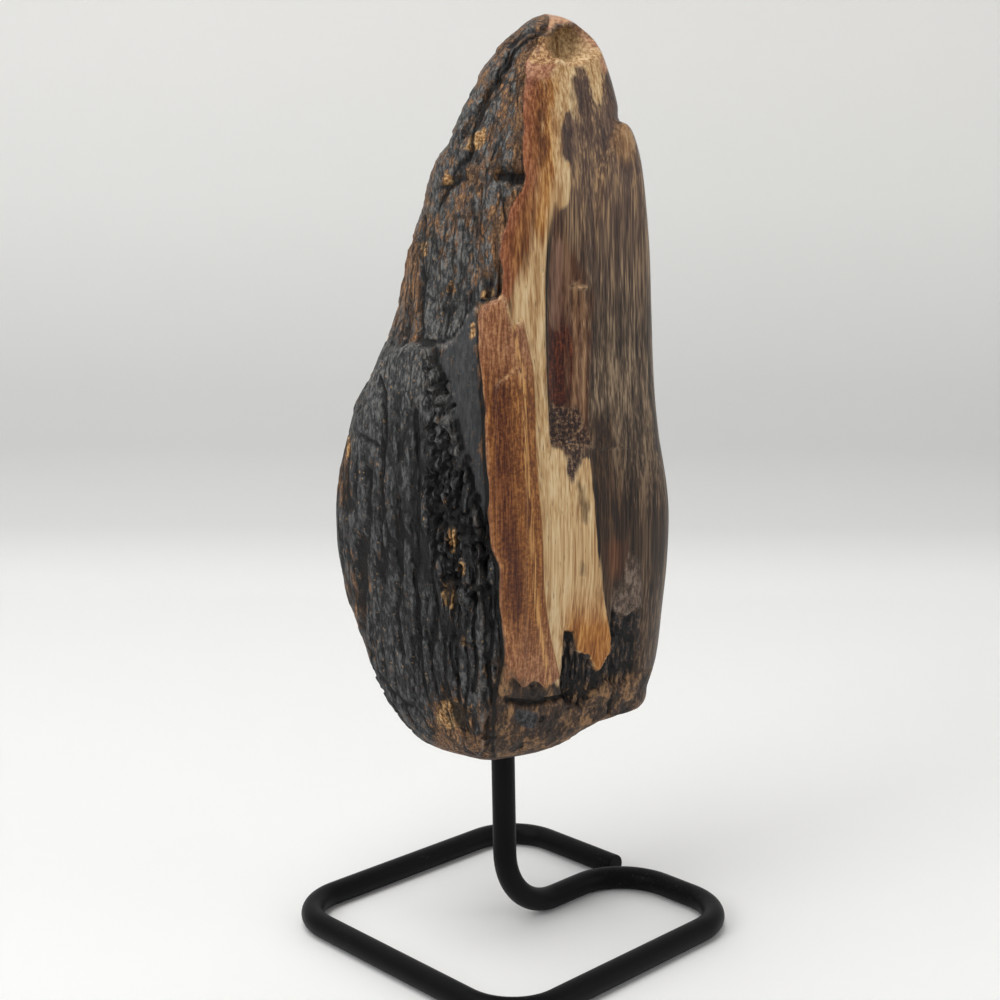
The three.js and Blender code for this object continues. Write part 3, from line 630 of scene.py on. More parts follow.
def bark_side(across, height, x, y, z, ragged, strip_left):
    """The charcoal side: its ledge, lobe, notch, slabs and crumbled blocks, all up to the strip."""
    flat = np.zeros(across.shape)
    on_bark = step(strip_left - across, 1.0)
    ledge = curve_at(BARK_LEDGE, across) + ragged - height
    lobe = np.minimum(curve_at(LOBE_EDGE, height) + ragged - across,
                      curve_at(LOBE_TOP, across) + ragged - height)
    below_ledge = step(ledge, 0.9)
    on_lobe = step(lobe, 1.2)
    plate = -PLATE_DEPTH * (1 - below_ledge) * (1 - ramp(height, 205, 255))
    hollow_side = -SIDE_DEPTH * below_ledge * (1 - on_lobe) * ramp(height, 104, 140)
    sliver = -SLIVER_DEPTH * hump(across + 50.5, 1.7) * ramp(height, 98, 106)
    sliver = sliver * (1 - ramp(height, 134, 142))
    in_notch = step(height - NOTCH_FLOOR - NOTCH_SLOPE * np.abs(across), 0.8)
    in_notch = in_notch * (1 - ramp(height, 254, 259)) * step(across + 7, 2)
    notch = -NOTCH_DEPTH * in_notch
    top_slab = TOP_SLAB_RISE * step(line_side(TOP_SLAB_EDGE, across, height) + ragged, 1.0)
    top_slab = top_slab * ramp(height, 246, 256)
    satin = below_ledge * (1 - on_lobe) * ramp(height, 138, 152)
    rough = (1 - 0.88 * satin) * (1 - 0.45 * on_lobe * ramp(height, 150, 180))
    texture, gap_shade = bark_texture(x, y, z, across, height, rough)
    block_zone = step(inside_distance(BLOCK_PATCH, across, height) + 2 * ragged, 3)
    block_gap, block_level = slabs(x / 3.6, y / 3.6, z / 2.9, 211)
    block_dark = block_zone * (1 - ramp(block_gap, 0.05, 0.28))
    block_dark = block_dark * ramp(mottle(x / 5, y / 5, z / 6, 27), -0.6, 0.0)
    blocks = block_zone * (BLOCK_RISE * block_level - 0.5) - BLOCK_GAP_DEPTH * block_dark
    relief = plate + hollow_side + LOBE_RISE * on_lobe + sliver + notch + top_slab + texture + blocks

    # Painted shade: the block crevices, the notch, the lines under the ledge and lobe edges, the bark's
    # edge by the strip and the deep sliver are laid dark where shade falls in them.
    gap_shade = np.maximum(gap_shade, np.maximum(block_dark, 0.9 * in_notch)) * on_bark
    edge_line_shade = on_bark * np.maximum(0.95 * hump(ledge + 0.8, 0.6), hump(lobe + 0.9, 0.8))
    edge_line_shade = edge_line_shade * ramp(mottle(across / 3, height / 3, flat, 45), -0.7, 0.1)
    strip_edge_shade = on_bark * hump(strip_left - across - 0.9, 0.7) * ramp(214 - height, 0, 6)
    for more in (edge_line_shade, strip_edge_shade, 0.9 * on_bark * (sliver < -1.2)):
        gap_shade = np.maximum(gap_shade, more)
    # Painted highlights on the lit edges of the ledge and the lobe, and on the notch's lower lip.
    rim_highlight = on_bark * np.maximum(0.7 * hump(ledge - 0.7, 0.5), 0.5 * hump(lobe - 0.8, 0.6))
    notch_rim_highlight = 0.9 * on_bark * hump(height - NOTCH_RIM - NOTCH_SLOPE * np.abs(across), 0.5)
    rim_highlight = np.maximum(rim_highlight, notch_rim_highlight * step(across + 6, 2))
    rim_highlight = rim_highlight * ramp(mottle(across / 2, height / 2, flat, 46), -0.5, 0.3)
    return on_bark * relief, gap_shade, rim_highlight, satin * (1 - block_zone), on_bark


def raised_strip(across, height, ragged, strip_left, on_bark):
    """The brown strip that stands proud between bark and wood."""
    strip_right = curve_at(STRIP_RIGHT, height)
    middle = (2 * across - strip_left - strip_right) / (strip_right - strip_left)
    top = curve_at(STRIP_TOP, across) + 0.5 * ragged
    foot = curve_at(STRIP_FOOT, across) + 0.5 * ragged
    in_strip = (1 - on_bark) * step(strip_right - across, 1.4) * step(top - height, 0.9)
    in_strip = in_strip * step(height - foot, 1.2)
    shoulder = 193 + ragged - 0.8 * np.abs(across) - height
    lower_rise = step(shoulder, 0.8) * step(across + 6, 1) * step(3.5 - across, 1)
    relief = in_strip * (STRIP_RISE + 1.0 * (1 - np.minimum(middle**2, 1)) + 0.7 * lower_rise)
    # Painted highlights along the strip's lit top edge and its shoulder.
    rim_highlight = np.maximum(hump(top - height - 0.5, 0.5) * (across > -11) * (across < 6),
                      0.7 * hump(shoulder, 0.5) * hump(across + 1, 4))
    return relief, rim_highlight * (1 - on_bark)


def in_mark(name, across, height, ragged, width):
    """1 inside a marking, with a ragged edge."""
    return step(inside_distance(MARKS[name], across, height) + ragged, width)


def polished_wood(across, height, x, y, z, ragged, on_bark):
    """The ground wood: the recess, the small steps, reeds, pits, crumbs and a pillar."""
    past_edge = across - curve_at(RECESS_LEFT, height)
    recess_length = step(height - 169 + ragged, 1.4) * (1 - ramp(height, 222, 254))
    recess = -RECESS_DEPTH * step(past_edge, 0.7) * (1 - ramp(past_edge, 3, 14)) * recess_length
    small_step = -0.9 * step(219.5 + ragged - height, 0.6) * step(across - 18.5, 0.8)
    small_step = small_step * step(24 - across, 0.8) * ramp(height, 196, 217)
    past_cream = step(across - curve_at(CREAM_RIGHT, height), 0.7) * step(167 - height, 1.5)
    right_grain = -1.1 * past_cream * (1 - ramp(across, 34, 46))
    on_right_lobe = step(across - curve_at(RIGHT_LOBE, height), 1.4) * step(273 - height, 1.6)
    right_lobe = RIGHT_LOBE_RISE * on_right_lobe * ramp(height, 222, 262)
    reeds = mottle(x / 1.3, y / 1.3, z / 40, 33) + 0.5 * mottle(x / 0.7, y / 0.7, z / 25, 34)
    pits = -0.5 * ramp(mottle(x / 0.7, y / 0.7, z / 4, 35), 0.35, 0.7)
    pits = pits * hump(across - 15, 4) * hump(height - 130, 26)
    speckle = mottle(x / 0.9, y / 0.9, z / 1.1, 36)
    wood = recess + small_step + right_grain + right_lobe + 0.09 * reeds * ramp(across, 10, 14) + pits
    wood = wood + 0.5 * in_mark("crumbs", across, height, ragged, 1.2) * speckle
    wood = wood + in_mark("pillar", across, height, 0, 1.0) * (0.7 + 0.25 * speckle)
    # Painted shadow along the recess's left edge, and a painted highlight on the lit rim of the small step.
    gap_shade = 0.9 * hump(past_edge - 0.5, 0.8) * recess_length * ramp(height, 172, 180)
    step_rim_highlight = 0.7 * hump(height - 219.8 - ragged, 0.5) * step(across - 18.5, 0.8)
    return (1 - on_bark) * wood, gap_shade, step_rim_highlight * step(23.5 - across, 0.8)


def stone_foot(across, height, x, y, z, ragged):
    """The crust under the base crack and the charred corner at the lower right."""
    below_crack = step(curve_at(BASE_CRACK, across) + ragged - height, 0.9) * step(across + 6, 2)
    charred = in_mark("char", across, height, 0.6 * ragged, 1.0)
    char_gap, char_level = slabs(x / 2.2, y / 2.2, z / 12, 301)
    char_dark = charred * (1 - ramp(char_gap, 0.05, 0.35))
    rubble = mottle(x / 3, y / 3, z / 2.4, 43) + 0.6 * mottle(x / 1.3, y / 1.3, z / 1.1, 44)
    crusty = in_mark("crust", across, height, ragged, 1.4)
    relief = -1.0 * below_crack + 0.55 * crusty * rubble
    relief = relief + charred * (0.45 * char_level - 1.2) - 0.8 * char_dark
    # The second value is painted shade in the crevices between charred slabs and in the low hollows of the
    # crust.
    return relief, np.maximum(0.9 * char_dark, crusty * ramp(-rubble, 0.5, 1.1))


def front_relief(across, height, x, y, z):
    """How far the front stands out, where painted shade lies in its cracks and hollows, where painted
    highlights lie on its lit edges, and its satin side.
    """
    flat = np.zeros(across.shape)
    ragged = 0.8 * mottle(across / 2.2, height / 2.2, flat, 12)
    ragged = ragged + 0.4 * mottle(across / 1.1, height / 1.1, flat, 13)
    strip_left = curve_at(STRIP_LEFT, height) + 0.5 * mottle(across / 3, height / 5, flat, 14)
    bark, bark_gap_shade, bark_rim_highlight, satin, on_bark = bark_side(across, height, x, y, z, ragged, strip_left)
    strip, strip_rim_highlight = raised_strip(across, height, ragged, strip_left, on_bark)
    wood, recess_edge_shade, wood_rim_highlight = polished_wood(across, height, x, y, z, ragged, on_bark)
    foot, foot_gap_shade = stone_foot(across, height, x, y, z, ragged)
    gap_shade = np.maximum(np.maximum(bark_gap_shade, recess_edge_shade), foot_gap_shade)
    cracks = flat
    bent = across + 0.7 * mottle(across / 3, height / 5, flat, 41)
    # Each crack is sunk, and painted shade is laid in it.
    for points, width, depth in CRACKS:
        near = hump(line_distance(points, bent, height), width)
        cracks = cracks - depth * near
        gap_shade = np.maximum(gap_shade, near * min(depth / 1.2, 1))
    rim_highlight = np.maximum(bark_rim_highlight, np.maximum(strip_rim_highlight, wood_rim_highlight))
    return bark + strip + wood + foot + cracks, gap_shade, rim_highlight, satin


def pit_distance(across, height):
    """Distance in from the pit's rim, positive inside it."""
    flat = across * 0
    ragged = 0.5 * mottle(across / 2, height / 2, flat, 51) + 0.3 * mottle(across, height, flat, 52)
    side, up, half_width, half_height = PIT
    away = np.sqrt(((across - side) / half_width) ** 2 + ((height - up) / half_height) ** 2)
    return 5.6 * (1 - away) + ragged


def tip_hollow(across, height):
    """How far the hollow under the tip is sunk in: a deep pit and a shallow shelf to its left."""
    flat = across * 0
    ragged = 0.2 * mottle(across / 2, height / 2, flat, 53)
    shelf = ((across - SHELF[0]) / 6) ** 2 + ((height - SHELF[1]) / 4.0) ** 2 + ragged
    deep = ramp(pit_distance(across, height), -0.1, 1.3)
    fibres = 0.5 * mottle(across / 1.1, height / 6, flat, 54)
    return deep * (PIT_DEPTH + fibres) + SHELF_DEPTH * (1 - ramp(shelf, 0.5, 1.1)) * (1 - deep)


def back_relief(across, height):
    """How far the back stands out: a split-off plate, long flutes and two dents."""
    ragged = mottle(across / 3, height / 3, across * 0, 61)
    plate = 2.2 * step(212 + 0.35 * across - height + ragged, 1.2)
    plate = plate * step(10 - across + 0.05 * height + ragged, 1.4)
    flutes = -1.3 * np.abs(np.sin(across * 0.21 + 0.7 * np.sin(height / 38))) ** 4
    dent = -2.6 * hump(across - 18, 9) * hump(height - 236, 16)
    low_dent = -2.0 * hump(across + 24, 10) * hump(height - 108, 13)
    return plate + flutes + dent + low_dent


def warm_share(across, level, bark_edge):
    """Where the bark is browner: high up, along its left edge, beside the strip and at the foot."""
    warm = 0.50 * ramp(level, 205, 245)
    bulge = 0.9 * ramp(-across, 51, 56) * ramp(level, 138, 156) * (1 - ramp(level, 168, 178))
    low_left = 0.45 * ramp(-across, 44, 50) * ramp(level, 84, 96) * (1 - ramp(level, 120, 146))
    waist = 0.7 * step(-32.5 - 0.02 * (level - 203) - across, 2) * ramp(level, 199, 204)
    waist = waist * (1 - ramp(level, 240, 250))
    by_strip = 0.8 * hump(bark_edge - 1.2, 1.6) * ramp(level, 120, 190)
    low_patch = 0.25 * hump(across + 22, 6) * (1 - ramp(level, 120, 150))
    foot = 0.75 * (1 - ramp(level, 72, 92)) * ramp(across, -36, -20)
    return warm + bulge + low_left + waist + by_strip + low_patch + foot


def section_radius(angle, faces):
    """Distance from the middle line to a rounded polygon of upright faces."""
    total = 0
    for direction, distance in faces:
        facing = np.maximum(np.cos(angle - math.radians(direction)), 0)
        total = total + (facing / np.maximum(distance, 0.05)) ** SECTION_SHARPNESS
    return total ** (-1 / SECTION_SHARPNESS)


def stone_points(around, share):
    """Places of the stone's points from their share of the way round and up, and what lies there."""
    z = curve_at(ROW_HEIGHTS, share)
    half_width = (curve_at(RIGHT_SIDE, z) - curve_at(LEFT_SIDE, z)) / 2
    middle = (curve_at(RIGHT_SIDE, z) + curve_at(LEFT_SIDE, z)) / 2
    edge = curve_at(FRONT_EDGE, z) - middle
    front = curve_at(FRONT_DEPTH, z)
    back = curve_at(BACK_DEPTH, z)

    def through(direction, x, y):
        turn = math.radians(direction)
        return direction, x * math.cos(turn) + y * math.sin(turn)

    faces = [(0, half_width), through(55, 0.1 * half_width, back), through(120, 0.1 * half_width, back),
             (180, half_width), through(-125, edge, -front), through(-62, edge, -front)]
    reach_left = reach_right = 0.05
    for turn in np.arange(0, 2 * math.pi, math.pi / 60):
        reach = math.cos(turn) * section_radius(turn, faces)
        reach_right = np.maximum(reach_right, reach)
        reach_left = np.maximum(reach_left, -reach)
    angle = math.pi / 2 + 2 * math.pi * around + FRONT_CROWDING * np.sin(2 * math.pi * around)
    out_x, out_y = np.cos(angle), np.sin(angle)
    radius = section_radius(angle, faces)
    x = out_x * radius * half_width / np.where(out_x > 0, reach_right, reach_left)
    y = out_y * radius
    nearness = EYE_DISTANCE / (EYE_DISTANCE + y)
    across = EYE_ACROSS + (middle + x - EYE_ACROSS) * nearness
    level = EYE_HEIGHT + (z - EYE_HEIGHT) * nearness
    faces_front = ramp(-out_y, 0.08, 0.4)
    faces_back = ramp(out_y, 0.08, 0.4)
    calm = ramp(z, STONE_LOW, STONE_LOW + END_CALM) * (1 - ramp(z, STONE_HIGH - END_CALM, STONE_HIGH))
    fronts, gap_shade, rim_highlight, satin = front_relief(across, level, middle + x, y, z)
    back_side = curve_at(BACK_BARK, z) - (middle + x) + 2.5 * mottle(x / 6, y / 6, z / 18, 71)
    rest = step(back_side, 3)
    rough_back, back_gap_shade = bark_texture(middle + x, y, z, np.full(x.shape, -60.0), z, rest)
    backs = back_relief(middle + x, z)
    backs = backs + (1 - rest) * 0.15 * mottle(x / 1.3, y / 1.3, z / 40, 33)
    side = 1 - faces_front
    relief = faces_front * fronts + faces_back * backs + side * rough_back
    gap_shade = faces_front * gap_shade + side * back_gap_shade
    sunk = faces_front * tip_hollow(across, level) * (1 - ramp(z, STONE_HIGH - 5.5, STONE_HIGH - 2.5))
    out = relief * calm - np.minimum(sunk, 0.6 * radius)
    out = np.where((share <= 0) | (share >= 1), 0, out)
    placed = np.stack([middle + x + out_x * out, y + out_y * out, z], 1)

    on_front = ramp(-y, -6, 6)
    fields = {name: np.minimum(inside_distance(outlines, across, level), 10 - y)
              for name, outlines in MARKS.items()}
    strip_left = curve_at(STRIP_LEFT, level)
    strip_right = curve_at(STRIP_RIGHT, level)
    bark_edge = strip_left + 0.5 * mottle(across / 3, level / 5, across * 0, 14) - across
    fields["bark"] = on_front * np.clip(bark_edge, -9, 9) + (1 - on_front) * np.clip(back_side, -9, 9)
    strip = np.minimum(across - strip_left, strip_right - across)
    above_foot = level - curve_at(STRIP_FOOT, across)
    strip = np.minimum(strip, np.minimum(curve_at(STRIP_TOP, across) - level, above_foot))
    fields["strip"] = np.minimum(strip, 10 - y)
    fields["strip_share"] = np.clip((across - strip_left) / (strip_right - strip_left), 0, 1)
    fields["pit"] = np.where(faces_front > 0.5, pit_distance(across, level), -9.0)
    shelf = 5 - 5 * np.hypot((across - SHELF[0]) / 6, (level - SHELF[1]) / 4.4)
    fields["shelf"] = np.where(faces_front > 0.5, shelf, -9.0)
    fields["warm"] = on_front * warm_share(across, level, bark_edge) + (1 - on_front) * 0.3
    # Painted shade for crevices and cracks, and painted highlights for lit edges, kept on the points for
    # the shader.
    fields["gap_shade"] = np.clip(gap_shade * calm, 0, 1)
    fields["rim_highlight"] = np.clip(faces_front * rim_highlight * calm, 0, 1)
    fields["satin"] = np.clip(faces_front * satin, 0, 1)
    fields["level"] = level
    fields["across"] = np.where(y < 10, across, 60.0)
    return placed, fields


def make_stone():
    """A closed ball of columns and rows, each point then moved to its place on the stone."""
    ball = bmesh.new()
    bmesh.ops.create_uvsphere(ball, u_segments=COLUMNS, v_segments=ROWS, radius=1.0)
    for face in ball.faces:
        face.smooth = True
    data = bpy.data.meshes.new("petrified_wood_finish")
    ball.to_mesh(data)
    ball.free()
    unit = np.empty(len(data.vertices) * 3, np.float32)
    data.vertices.foreach_get("co", unit)
    unit = unit.reshape(-1, 3).astype(float)
    around = np.arctan2(unit[:, 1], unit[:, 0]) / (2 * math.pi) % 1
    share = 1 - np.arccos(np.clip(unit[:, 2], -1, 1)) / math.pi
    share = np.round(share * ROWS) / ROWS
    placed, fields = stone_points(around, share)
    turn = np.array(Matrix.Rotation(STONE_TURN, 3, "Z"))
    data.vertices.foreach_set("co", (placed @ turn.T * MM).astype(np.float32).ravel())
    for name, values in fields.items():
        data.attributes.new(name, "FLOAT", "POINT").data.foreach_set("value", values.astype(np.float32))
    data.update()
    return data


def border_group():
    """A zone's ragged border: a signed distance in millimetres in, a mask out."""
    group, given, out = new_group("ragged border", [
        ("Distance", "NodeSocketFloat"), ("Place", "NodeSocketVector"), ("Fineness", "NodeSocketFloat"),
        ("Raggedness", "NodeSocketFloat"), ("Softness", "NodeSocketFloat")], "Mask", "NodeSocketFloat")
    noise = add_node(group, "ShaderNodeTexNoise", {
        "Vector": given["Place"], "Scale": given["Fineness"], "Detail": 2.0, "Roughness": 0.6})
    centred = add_node(group, "ShaderNodeMath", {0: noise.outputs["Fac"], 1: 0.5}, operation="SUBTRACT")
    moved = add_node(group, "ShaderNodeMath", {
        0: centred.outputs[0], 1: given["Raggedness"], 2: given["Distance"]}, operation="MULTIPLY_ADD")
    scaled = add_node(group, "ShaderNodeMath", {
        0: moved.outputs[0], 1: given["Softness"]}, operation="DIVIDE")
    mask = add_node(group, "ShaderNodeMath", {
        0: scaled.outputs[0], 1: 0.5}, operation="ADD", use_clamp=True)
    group.links.new(mask.outputs[0], out)
    return group


def streak_group():
    """Streaks or specks of three colours from one noise."""
    group, given, out = new_group("three colour streaks", [
        ("Noise", "NodeSocketFloat"), ("Dark", "NodeSocketColor"), ("Middle", "NodeSocketColor"),
        ("Light", "NodeSocketColor")], "Color", "NodeSocketColor")
    low = add_node(group, "ShaderNodeMapRange", {"Value": given["Noise"], 1: 0.39, 2: 0.50})
    high = add_node(group, "ShaderNodeMapRange", {"Value": given["Noise"], 1: 0.50, 2: 0.61})
    first = add_node(group, "ShaderNodeMix", {
        0: low.outputs[0], 6: given["Dark"], 7: given["Middle"]}, data_type="RGBA")
    second = add_node(group, "ShaderNodeMix", {
        0: high.outputs[0], 6: first.outputs[2], 7: given["Light"]}, data_type="RGBA")
    group.links.new(second.outputs[2], out)
    return group


BORDER = border_group()
STREAKS = streak_group()
stone_material, tree, stone_shader = new_material(
    "petrified_wood_surface", Metallic=0.0, IOR=1.5, Specular_IOR_Level=0.34)


def field(name):
    """A value kept on the stone's points."""
    return add_node(tree, "ShaderNodeAttribute", attribute_name=name,
                    attribute_type="GEOMETRY").outputs["Fac"]


def maths(operation, first, second, clamp=False):
    """One sum on two values or sockets."""
    return add_node(tree, "ShaderNodeMath", {
        0: first, 1: second}, operation=operation, use_clamp=clamp).outputs[0]


def product(first, *others):
    """Values or sockets multiplied together."""
    for other in others:
        first = maths("MULTIPLY", first, other)
    return first


def most(first, *others):
    """The greatest of some values or sockets."""
    for other in others:
        first = maths("MAXIMUM", first, other)
    return first


def blend(first, share, second, other_share):
    """Two values added, each by its share."""
    return maths("ADD", product(first, share), product(second, other_share))


def spread(value, low, high, to_low=0.0, to_high=1.0):
    """A value's range stretched to another range, and held there."""
    return add_node(tree, "ShaderNodeMapRange", {
        "Value": value, 1: low, 2: high, 3: to_low, 4: to_high}).outputs[0]


def over(mask, below, above):
    """One colour over another where the mask is 1."""
    return add_node(tree, "ShaderNodeMix", {0: mask, 6: below, 7: above}, data_type="RGBA").outputs[2]


def between(mask, below, above):
    """One value or another by the mask."""
    return add_node(tree, "ShaderNodeMix", {0: mask, 2: below, 3: above}, data_type="FLOAT").outputs[0]


def stretched(place, along):
    """A place with its height shrunk, so that what lies there is drawn out along the grain."""
    return add_node(tree, "ShaderNodeMapping", {
        "Vector": place, "Scale": (1.0, 1.0, along)}).outputs[0]


object_place = add_node(tree, "ShaderNodeTexCoord").outputs["Object"]
grain_place = stretched(object_place, 0.02)
bark_place = stretched(object_place, 0.42)


def noise(fineness, place, detail=5.0, roughness=0.62):
    """A noise in the stone's own space."""
    return add_node(tree, "ShaderNodeTexNoise", {
        "Vector": place, "Scale": fineness, "Detail": detail, "Roughness": roughness}).outputs["Fac"]


def zone(name, raggedness, softness, fineness=420.0, place=None):
    """The mask of a zone, with a border as ragged and soft as asked."""
    return add_node(tree, "ShaderNodeGroup", {
        "Distance": field(name), "Place": place or object_place, "Fineness": fineness,
        "Raggedness": raggedness, "Softness": softness}, node_tree=BORDER).outputs["Mask"]


def streaks(source, dark, middle, light):
    """Three colours by one noise."""
    return add_node(tree, "ShaderNodeGroup", {
        "Noise": source, "Dark": tint(*dark), "Middle": tint(*middle), "Light": tint(*light)},
        node_tree=STREAKS).outputs["Color"]


def lay(below, patches):
    """Patches over a colour: zone, raggedness, softness, fineness, place, cover, noise, three colours."""
    for name, raggedness, softness, fineness, place, cover, source, *shades in patches:
        mask = product(zone(name, raggedness, softness, fineness, place), cover)
        below = over(mask, below, streaks(source, *shades))
    return below


broad_grain = noise(260.0, grain_place, 3.0)
fine_grain = noise(1400.0, grain_place, 2.0, 0.75)
grain = blend(broad_grain, 0.40, fine_grain, 0.60)
cross_grain = noise(820.0, bark_place, 3.0, 0.72)
speckle = noise(900.0, object_place, 2.0, 0.7)
gritty_grain = blend(fine_grain, 0.6, speckle, 0.4)
crumb_grain = blend(cross_grain, 0.5, speckle, 0.5)
pit_grain = blend(grain, 0.6, speckle, 0.4)

level = field("level")
across = field("across")
grey_brown = streaks(grain, (36, 27, 20), (88, 70, 54), (154, 131, 104))
smoke = streaks(grain, (66, 48, 40), (100, 77, 62), (166, 134, 98))
colour = over(spread(level, 205.0, 250.0), grey_brown, smoke)
low_brown = streaks(grain, (22, 14, 9), (56, 38, 26), (104, 80, 58))
colour = over(spread(level, 182.0, 146.0, 0.0, 0.8), colour, low_brown)
colour = lay(colour, [
    ("lower_brown", 9.0, 4.0, 300.0, grain_place, 1.0, grain, (24, 14, 9), (50, 33, 21), (92, 67, 46)),
    ("red_patch", 9.0, 4.0, 400.0, grain_place, 0.55, grain, (72, 38, 22), (106, 60, 34), (134, 84, 52)),
])
cream_wood = lay(streaks(grain, (158, 116, 72), (202, 166, 118), (224, 198, 154)), [
    ("smudge", 3.0, 1.6, 400.0, bark_place, 0.85, grain, (70, 52, 32), (112, 88, 58), (150, 122, 84)),
])
pores = spread(noise(1300.0, stretched(object_place, 0.12), 2.0), 0.63, 0.70)
cream_wood = over(product(pores, 0.55), cream_wood, tint(104, 76, 46))
colour = over(zone("cream", 5.0, 0.9, 500.0, grain_place), colour, cream_wood)
amber_share = product(spread(level, 120.0, 106.0), spread(across, 15.0, 19.5), zone("cream", 1.0, 0.8))
colour = over(amber_share, colour, streaks(grain, (120, 66, 20), (166, 104, 40), (200, 146, 80)))
colour = lay(colour, [
    ("smoke_dark", 8.0, 1.6, 400.0, grain_place, 1.0, grain, (56, 42, 38), (84, 64, 54), (118, 92, 74)),
    ("recess", 8.0, 2.4, 500.0, grain_place, 1.0, grain, (56, 32, 22), (92, 60, 42), (136, 104, 78)),
    ("maroon", 9.0, 2.4, 400.0, grain_place, 1.0, gritty_grain, (34, 12, 11), (72, 30, 18), (122, 62, 34)),
    ("pink_column", 7.0, 1.8, 400.0, grain_place, 0.7, grain,
     (112, 78, 62), (146, 110, 90), (166, 130, 108)),
    ("tan_lines", 2.0, 0.7, 500.0, grain_place, 0.75, grain,
     (120, 84, 56), (152, 116, 82), (180, 146, 110)),
    ("crumbs", 9.0, 2.2, 420.0, grain_place, 1.0, crumb_grain, (30, 22, 20), (66, 46, 38), (150, 118, 88)),
    ("gold_grain", 9.0, 3.0, 400.0, grain_place, 1.0, grain,
     (110, 60, 20), (170, 112, 50), (212, 166, 104)),
    ("red_band", 8.0, 2.6, 400.0, grain_place, 1.0, grain, (78, 40, 14), (122, 72, 34), (172, 118, 68)),
])
pink_edge = product(spread(field("bark"), -5.5, -1.5), zone("red_band", 2.0, 1.0), 0.75)
colour = over(pink_edge, colour, streaks(gritty_grain, (104, 54, 32), (140, 80, 52), (176, 116, 84)))
colour = lay(colour, [
    ("lobe_tip", 8.0, 2.6, 400.0, grain_place, 0.9, grain, (122, 86, 54), (154, 114, 74), (188, 150, 110)),
])

strip_share = field("strip_share")
strip_dark = product(spread(strip_share, 0.06, 0.22), spread(strip_share, 0.66, 0.42),
                     spread(level, 204.0, 186.0), spread(level, 92.0, 118.0), 0.9)
strip_wood = streaks(gritty_grain, (92, 46, 16), (132, 78, 32), (176, 120, 62))
strip_wood = over(strip_dark, strip_wood, streaks(gritty_grain, (48, 20, 10), (84, 40, 18), (124, 72, 38)))
strip_ends = most(spread(level, 186.0, 200.0), spread(level, 112.0, 92.0), spread(strip_share, 0.10, 0.02))
strip_pale = streaks(gritty_grain, (112, 66, 40), (148, 98, 66), (184, 136, 98))
strip_wood = over(product(strip_ends, 0.85), strip_wood, strip_pale)
bright_line = product(spread(strip_share, 0.70, 0.76), spread(strip_share, 0.84, 0.79),
                      spread(fine_grain, 0.42, 0.56), 0.75)
strip_wood = over(bright_line, strip_wood, tint(214, 162, 98))
colour = over(zone("strip", 0.9, 0.5, 500.0), colour, strip_wood)

colour = lay(colour, [
    ("pink_facet", 3.0, 1.8, 420.0, None, 1.0, speckle, (132, 84, 58), (164, 110, 80), (192, 142, 108)),
    ("apex_rim", 1.2, 0.9, 420.0, None, 1.0, speckle, (150, 104, 76), (182, 134, 100), (208, 164, 126)),
])
pit = field("pit")
tip_cream = streaks(speckle, (166, 122, 78), (206, 166, 118), (232, 202, 158))
colour = over(product(spread(pit, -1.4, -0.5), spread(level, 297.0, 293.0)), colour, tip_cream)
colour = lay(colour, [
    ("shelf", 2.0, 0.8, 420.0, None, 1.0, speckle, (124, 84, 52), (176, 130, 86), (210, 170, 122)),
])
pit_wood = streaks(pit_grain, (118, 88, 54), (168, 134, 90), (206, 174, 126))
colour = over(spread(pit, 0.2, 1.4), colour, pit_wood)
colour = lay(colour, [
    ("char", 5.0, 0.6, 400.0, grain_place, 1.0, cross_grain, (20, 19, 21), (42, 39, 40), (104, 84, 68)),
    ("pillar", 8.0, 1.6, 400.0, grain_place, 0.65, cross_grain,
     (62, 50, 44), (108, 90, 78), (152, 132, 116)),
])

patch_noise = blend(noise(120.0, bark_place, 4.0, 0.7), 0.55, noise(480.0, bark_place, 3.0, 0.7), 0.45)
warm_level = maths("ADD", patch_noise, product(field("warm"), 0.26))
warm_mask = maths("MULTIPLY", maths("SUBTRACT", warm_level, 0.60), 9.0, True)
satin = field("satin")
bark_coal = streaks(cross_grain, (25, 25, 27), (53, 54, 56), (92, 92, 92))
bark_coal = over(spread(level, 160.0, 192.0, 0.0, 0.8), bark_coal,
                 streaks(cross_grain, (40, 40, 42), (82, 82, 82), (126, 125, 121)))
bark_coal = over(product(satin, 0.85), bark_coal, streaks(grain, (38, 39, 41), (52, 53, 55), (68, 68, 70)))
bark_brown = streaks(gritty_grain, (70, 50, 38), (116, 84, 58), (176, 130, 86))
bark_mask = zone("bark", 1.2, 0.5, 700.0)
colour = over(bark_mask, colour, over(warm_mask, bark_coal, bark_brown))
fleck = spread(noise(760.0, object_place, 1.0, 0.6), 0.68, 0.72)
fleck_share = product(bark_mask, spread(satin, 0.1, 0.8, 0.65, 0.15))
colour = over(product(fleck, fleck_share), colour, tint(172, 138, 98))
crust_grain = blend(noise(170.0, bark_place, 3.0), 0.55, cross_grain, 0.45)
colour = lay(colour, [
    ("crust", 13.0, 3.0, 150.0, None, 1.0, crust_grain, (26, 22, 21), (72, 54, 42), (158, 120, 82)),
    ("foot_chip", 2.0, 0.7, 420.0, None, 1.0, cross_grain, (28, 27, 29), (56, 55, 58), (84, 82, 82)),
    ("gold", 2.4, 0.7, 600.0, None, 1.0, speckle, (120, 80, 42), (178, 132, 80), (218, 180, 128)),
])
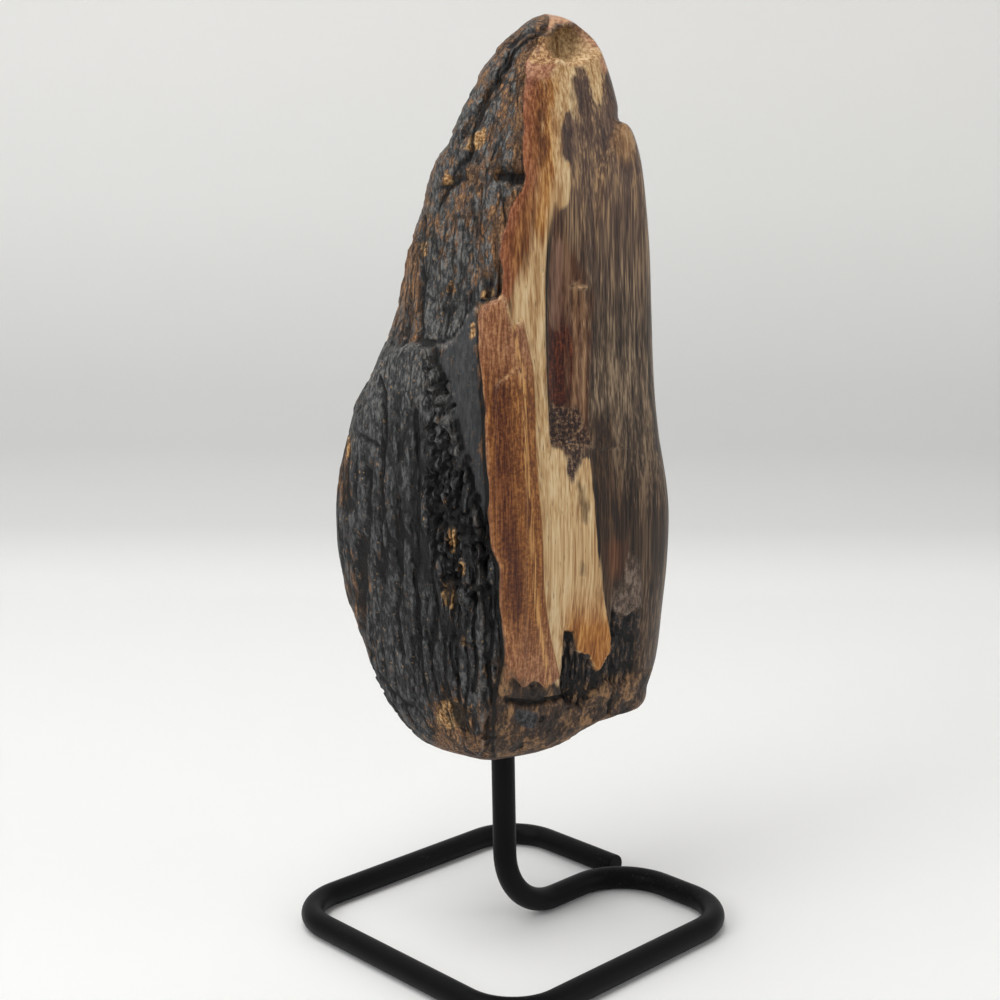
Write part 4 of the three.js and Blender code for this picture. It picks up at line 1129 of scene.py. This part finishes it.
# Painted highlights: pale colour laid on the lit edges of ledges, lobes, the strip and steps.
rim_highlight_colour = over(bark_mask, tint(226, 186, 138), tint(158, 150, 142))
colour = over(product(field("rim_highlight"), spread(speckle, 0.40, 0.55, 0.25, 0.9)), colour, rim_highlight_colour)
bend = add_node(tree, "ShaderNodeTexNoise", {
    "Vector": object_place, "Scale": 160.0, "Detail": 1.0}).outputs["Color"]
bent_place = add_node(tree, "ShaderNodeVectorMath", {
    0: bend, 1: (0.003, 0.003, 0.012), 2: object_place}, operation="MULTIPLY_ADD").outputs[0]


def fissures(fineness, along, wide, thin):
    """Thin branching cracks, longer up the grain than across it."""
    away = add_node(tree, "ShaderNodeTexVoronoi", {
        "Vector": stretched(bent_place, along), "Scale": fineness},
        feature="DISTANCE_TO_EDGE").outputs["Distance"]
    return spread(away, wide, thin)


# Fine cracks on the rough bark, drawn as painted shade.
long_cracks = product(fissures(230.0, 0.10, 0.085, 0.03), spread(noise(70.0, bark_place, 2.0), 0.38, 0.50))
short_cracks = product(fissures(620.0, 0.30, 0.10, 0.03),
                       spread(noise(110.0, object_place, 2.0), 0.50, 0.62))
on_rough_bark = product(bark_mask, spread(satin, 0.2, 0.9, 1.0, 0.15))
fine_crack_shade = product(most(long_cracks, product(short_cracks, 0.8)), on_rough_bark)
gap_shade_mask = spread(field("gap_shade"), 0.12, 0.7)
# Painted shade: crevices, the notch, the recess edge and fine cracks are laid near black where shade falls.
dark = most(product(gap_shade_mask, 0.94), product(fine_crack_shade, 0.8))
colour = over(dark, colour, tint(9, 8, 8))
tree.links.new(colour, stone_shader.inputs["Base Color"])

rough_mask = most(spread(field("bark"), -0.3, 0.3), spread(field("char"), -0.4, 0.4),
                  spread(field("crust"), -0.6, 0.6), spread(pit, -1.0, 1.0))
gloss = maths("ADD", between(rough_mask, 0.36, 0.50), product(speckle, 0.16))
tree.links.new(gloss, stone_shader.inputs["Roughness"])
grit = noise(1700.0, object_place, 1.0, 0.7)
bark_height = maths("ADD", blend(cross_grain, 0.9, speckle, 0.35), blend(grit, 0.30, gap_shade_mask, -0.8))
bark_height = between(product(satin, 0.8), bark_height, product(grain, 0.4))
height = between(rough_mask, product(fine_grain, 0.16), bark_height)
bump = add_node(tree, "ShaderNodeBump", {"Height": height, "Strength": 1.0, "Distance": 0.0008})
tree.links.new(bump.outputs["Normal"], stone_shader.inputs["Normal"])

petrified_wood = new_piece("petrified_wood_finish", make_stone(), stone_material)
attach(petrified_wood, "root")
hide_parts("petrified_wood")
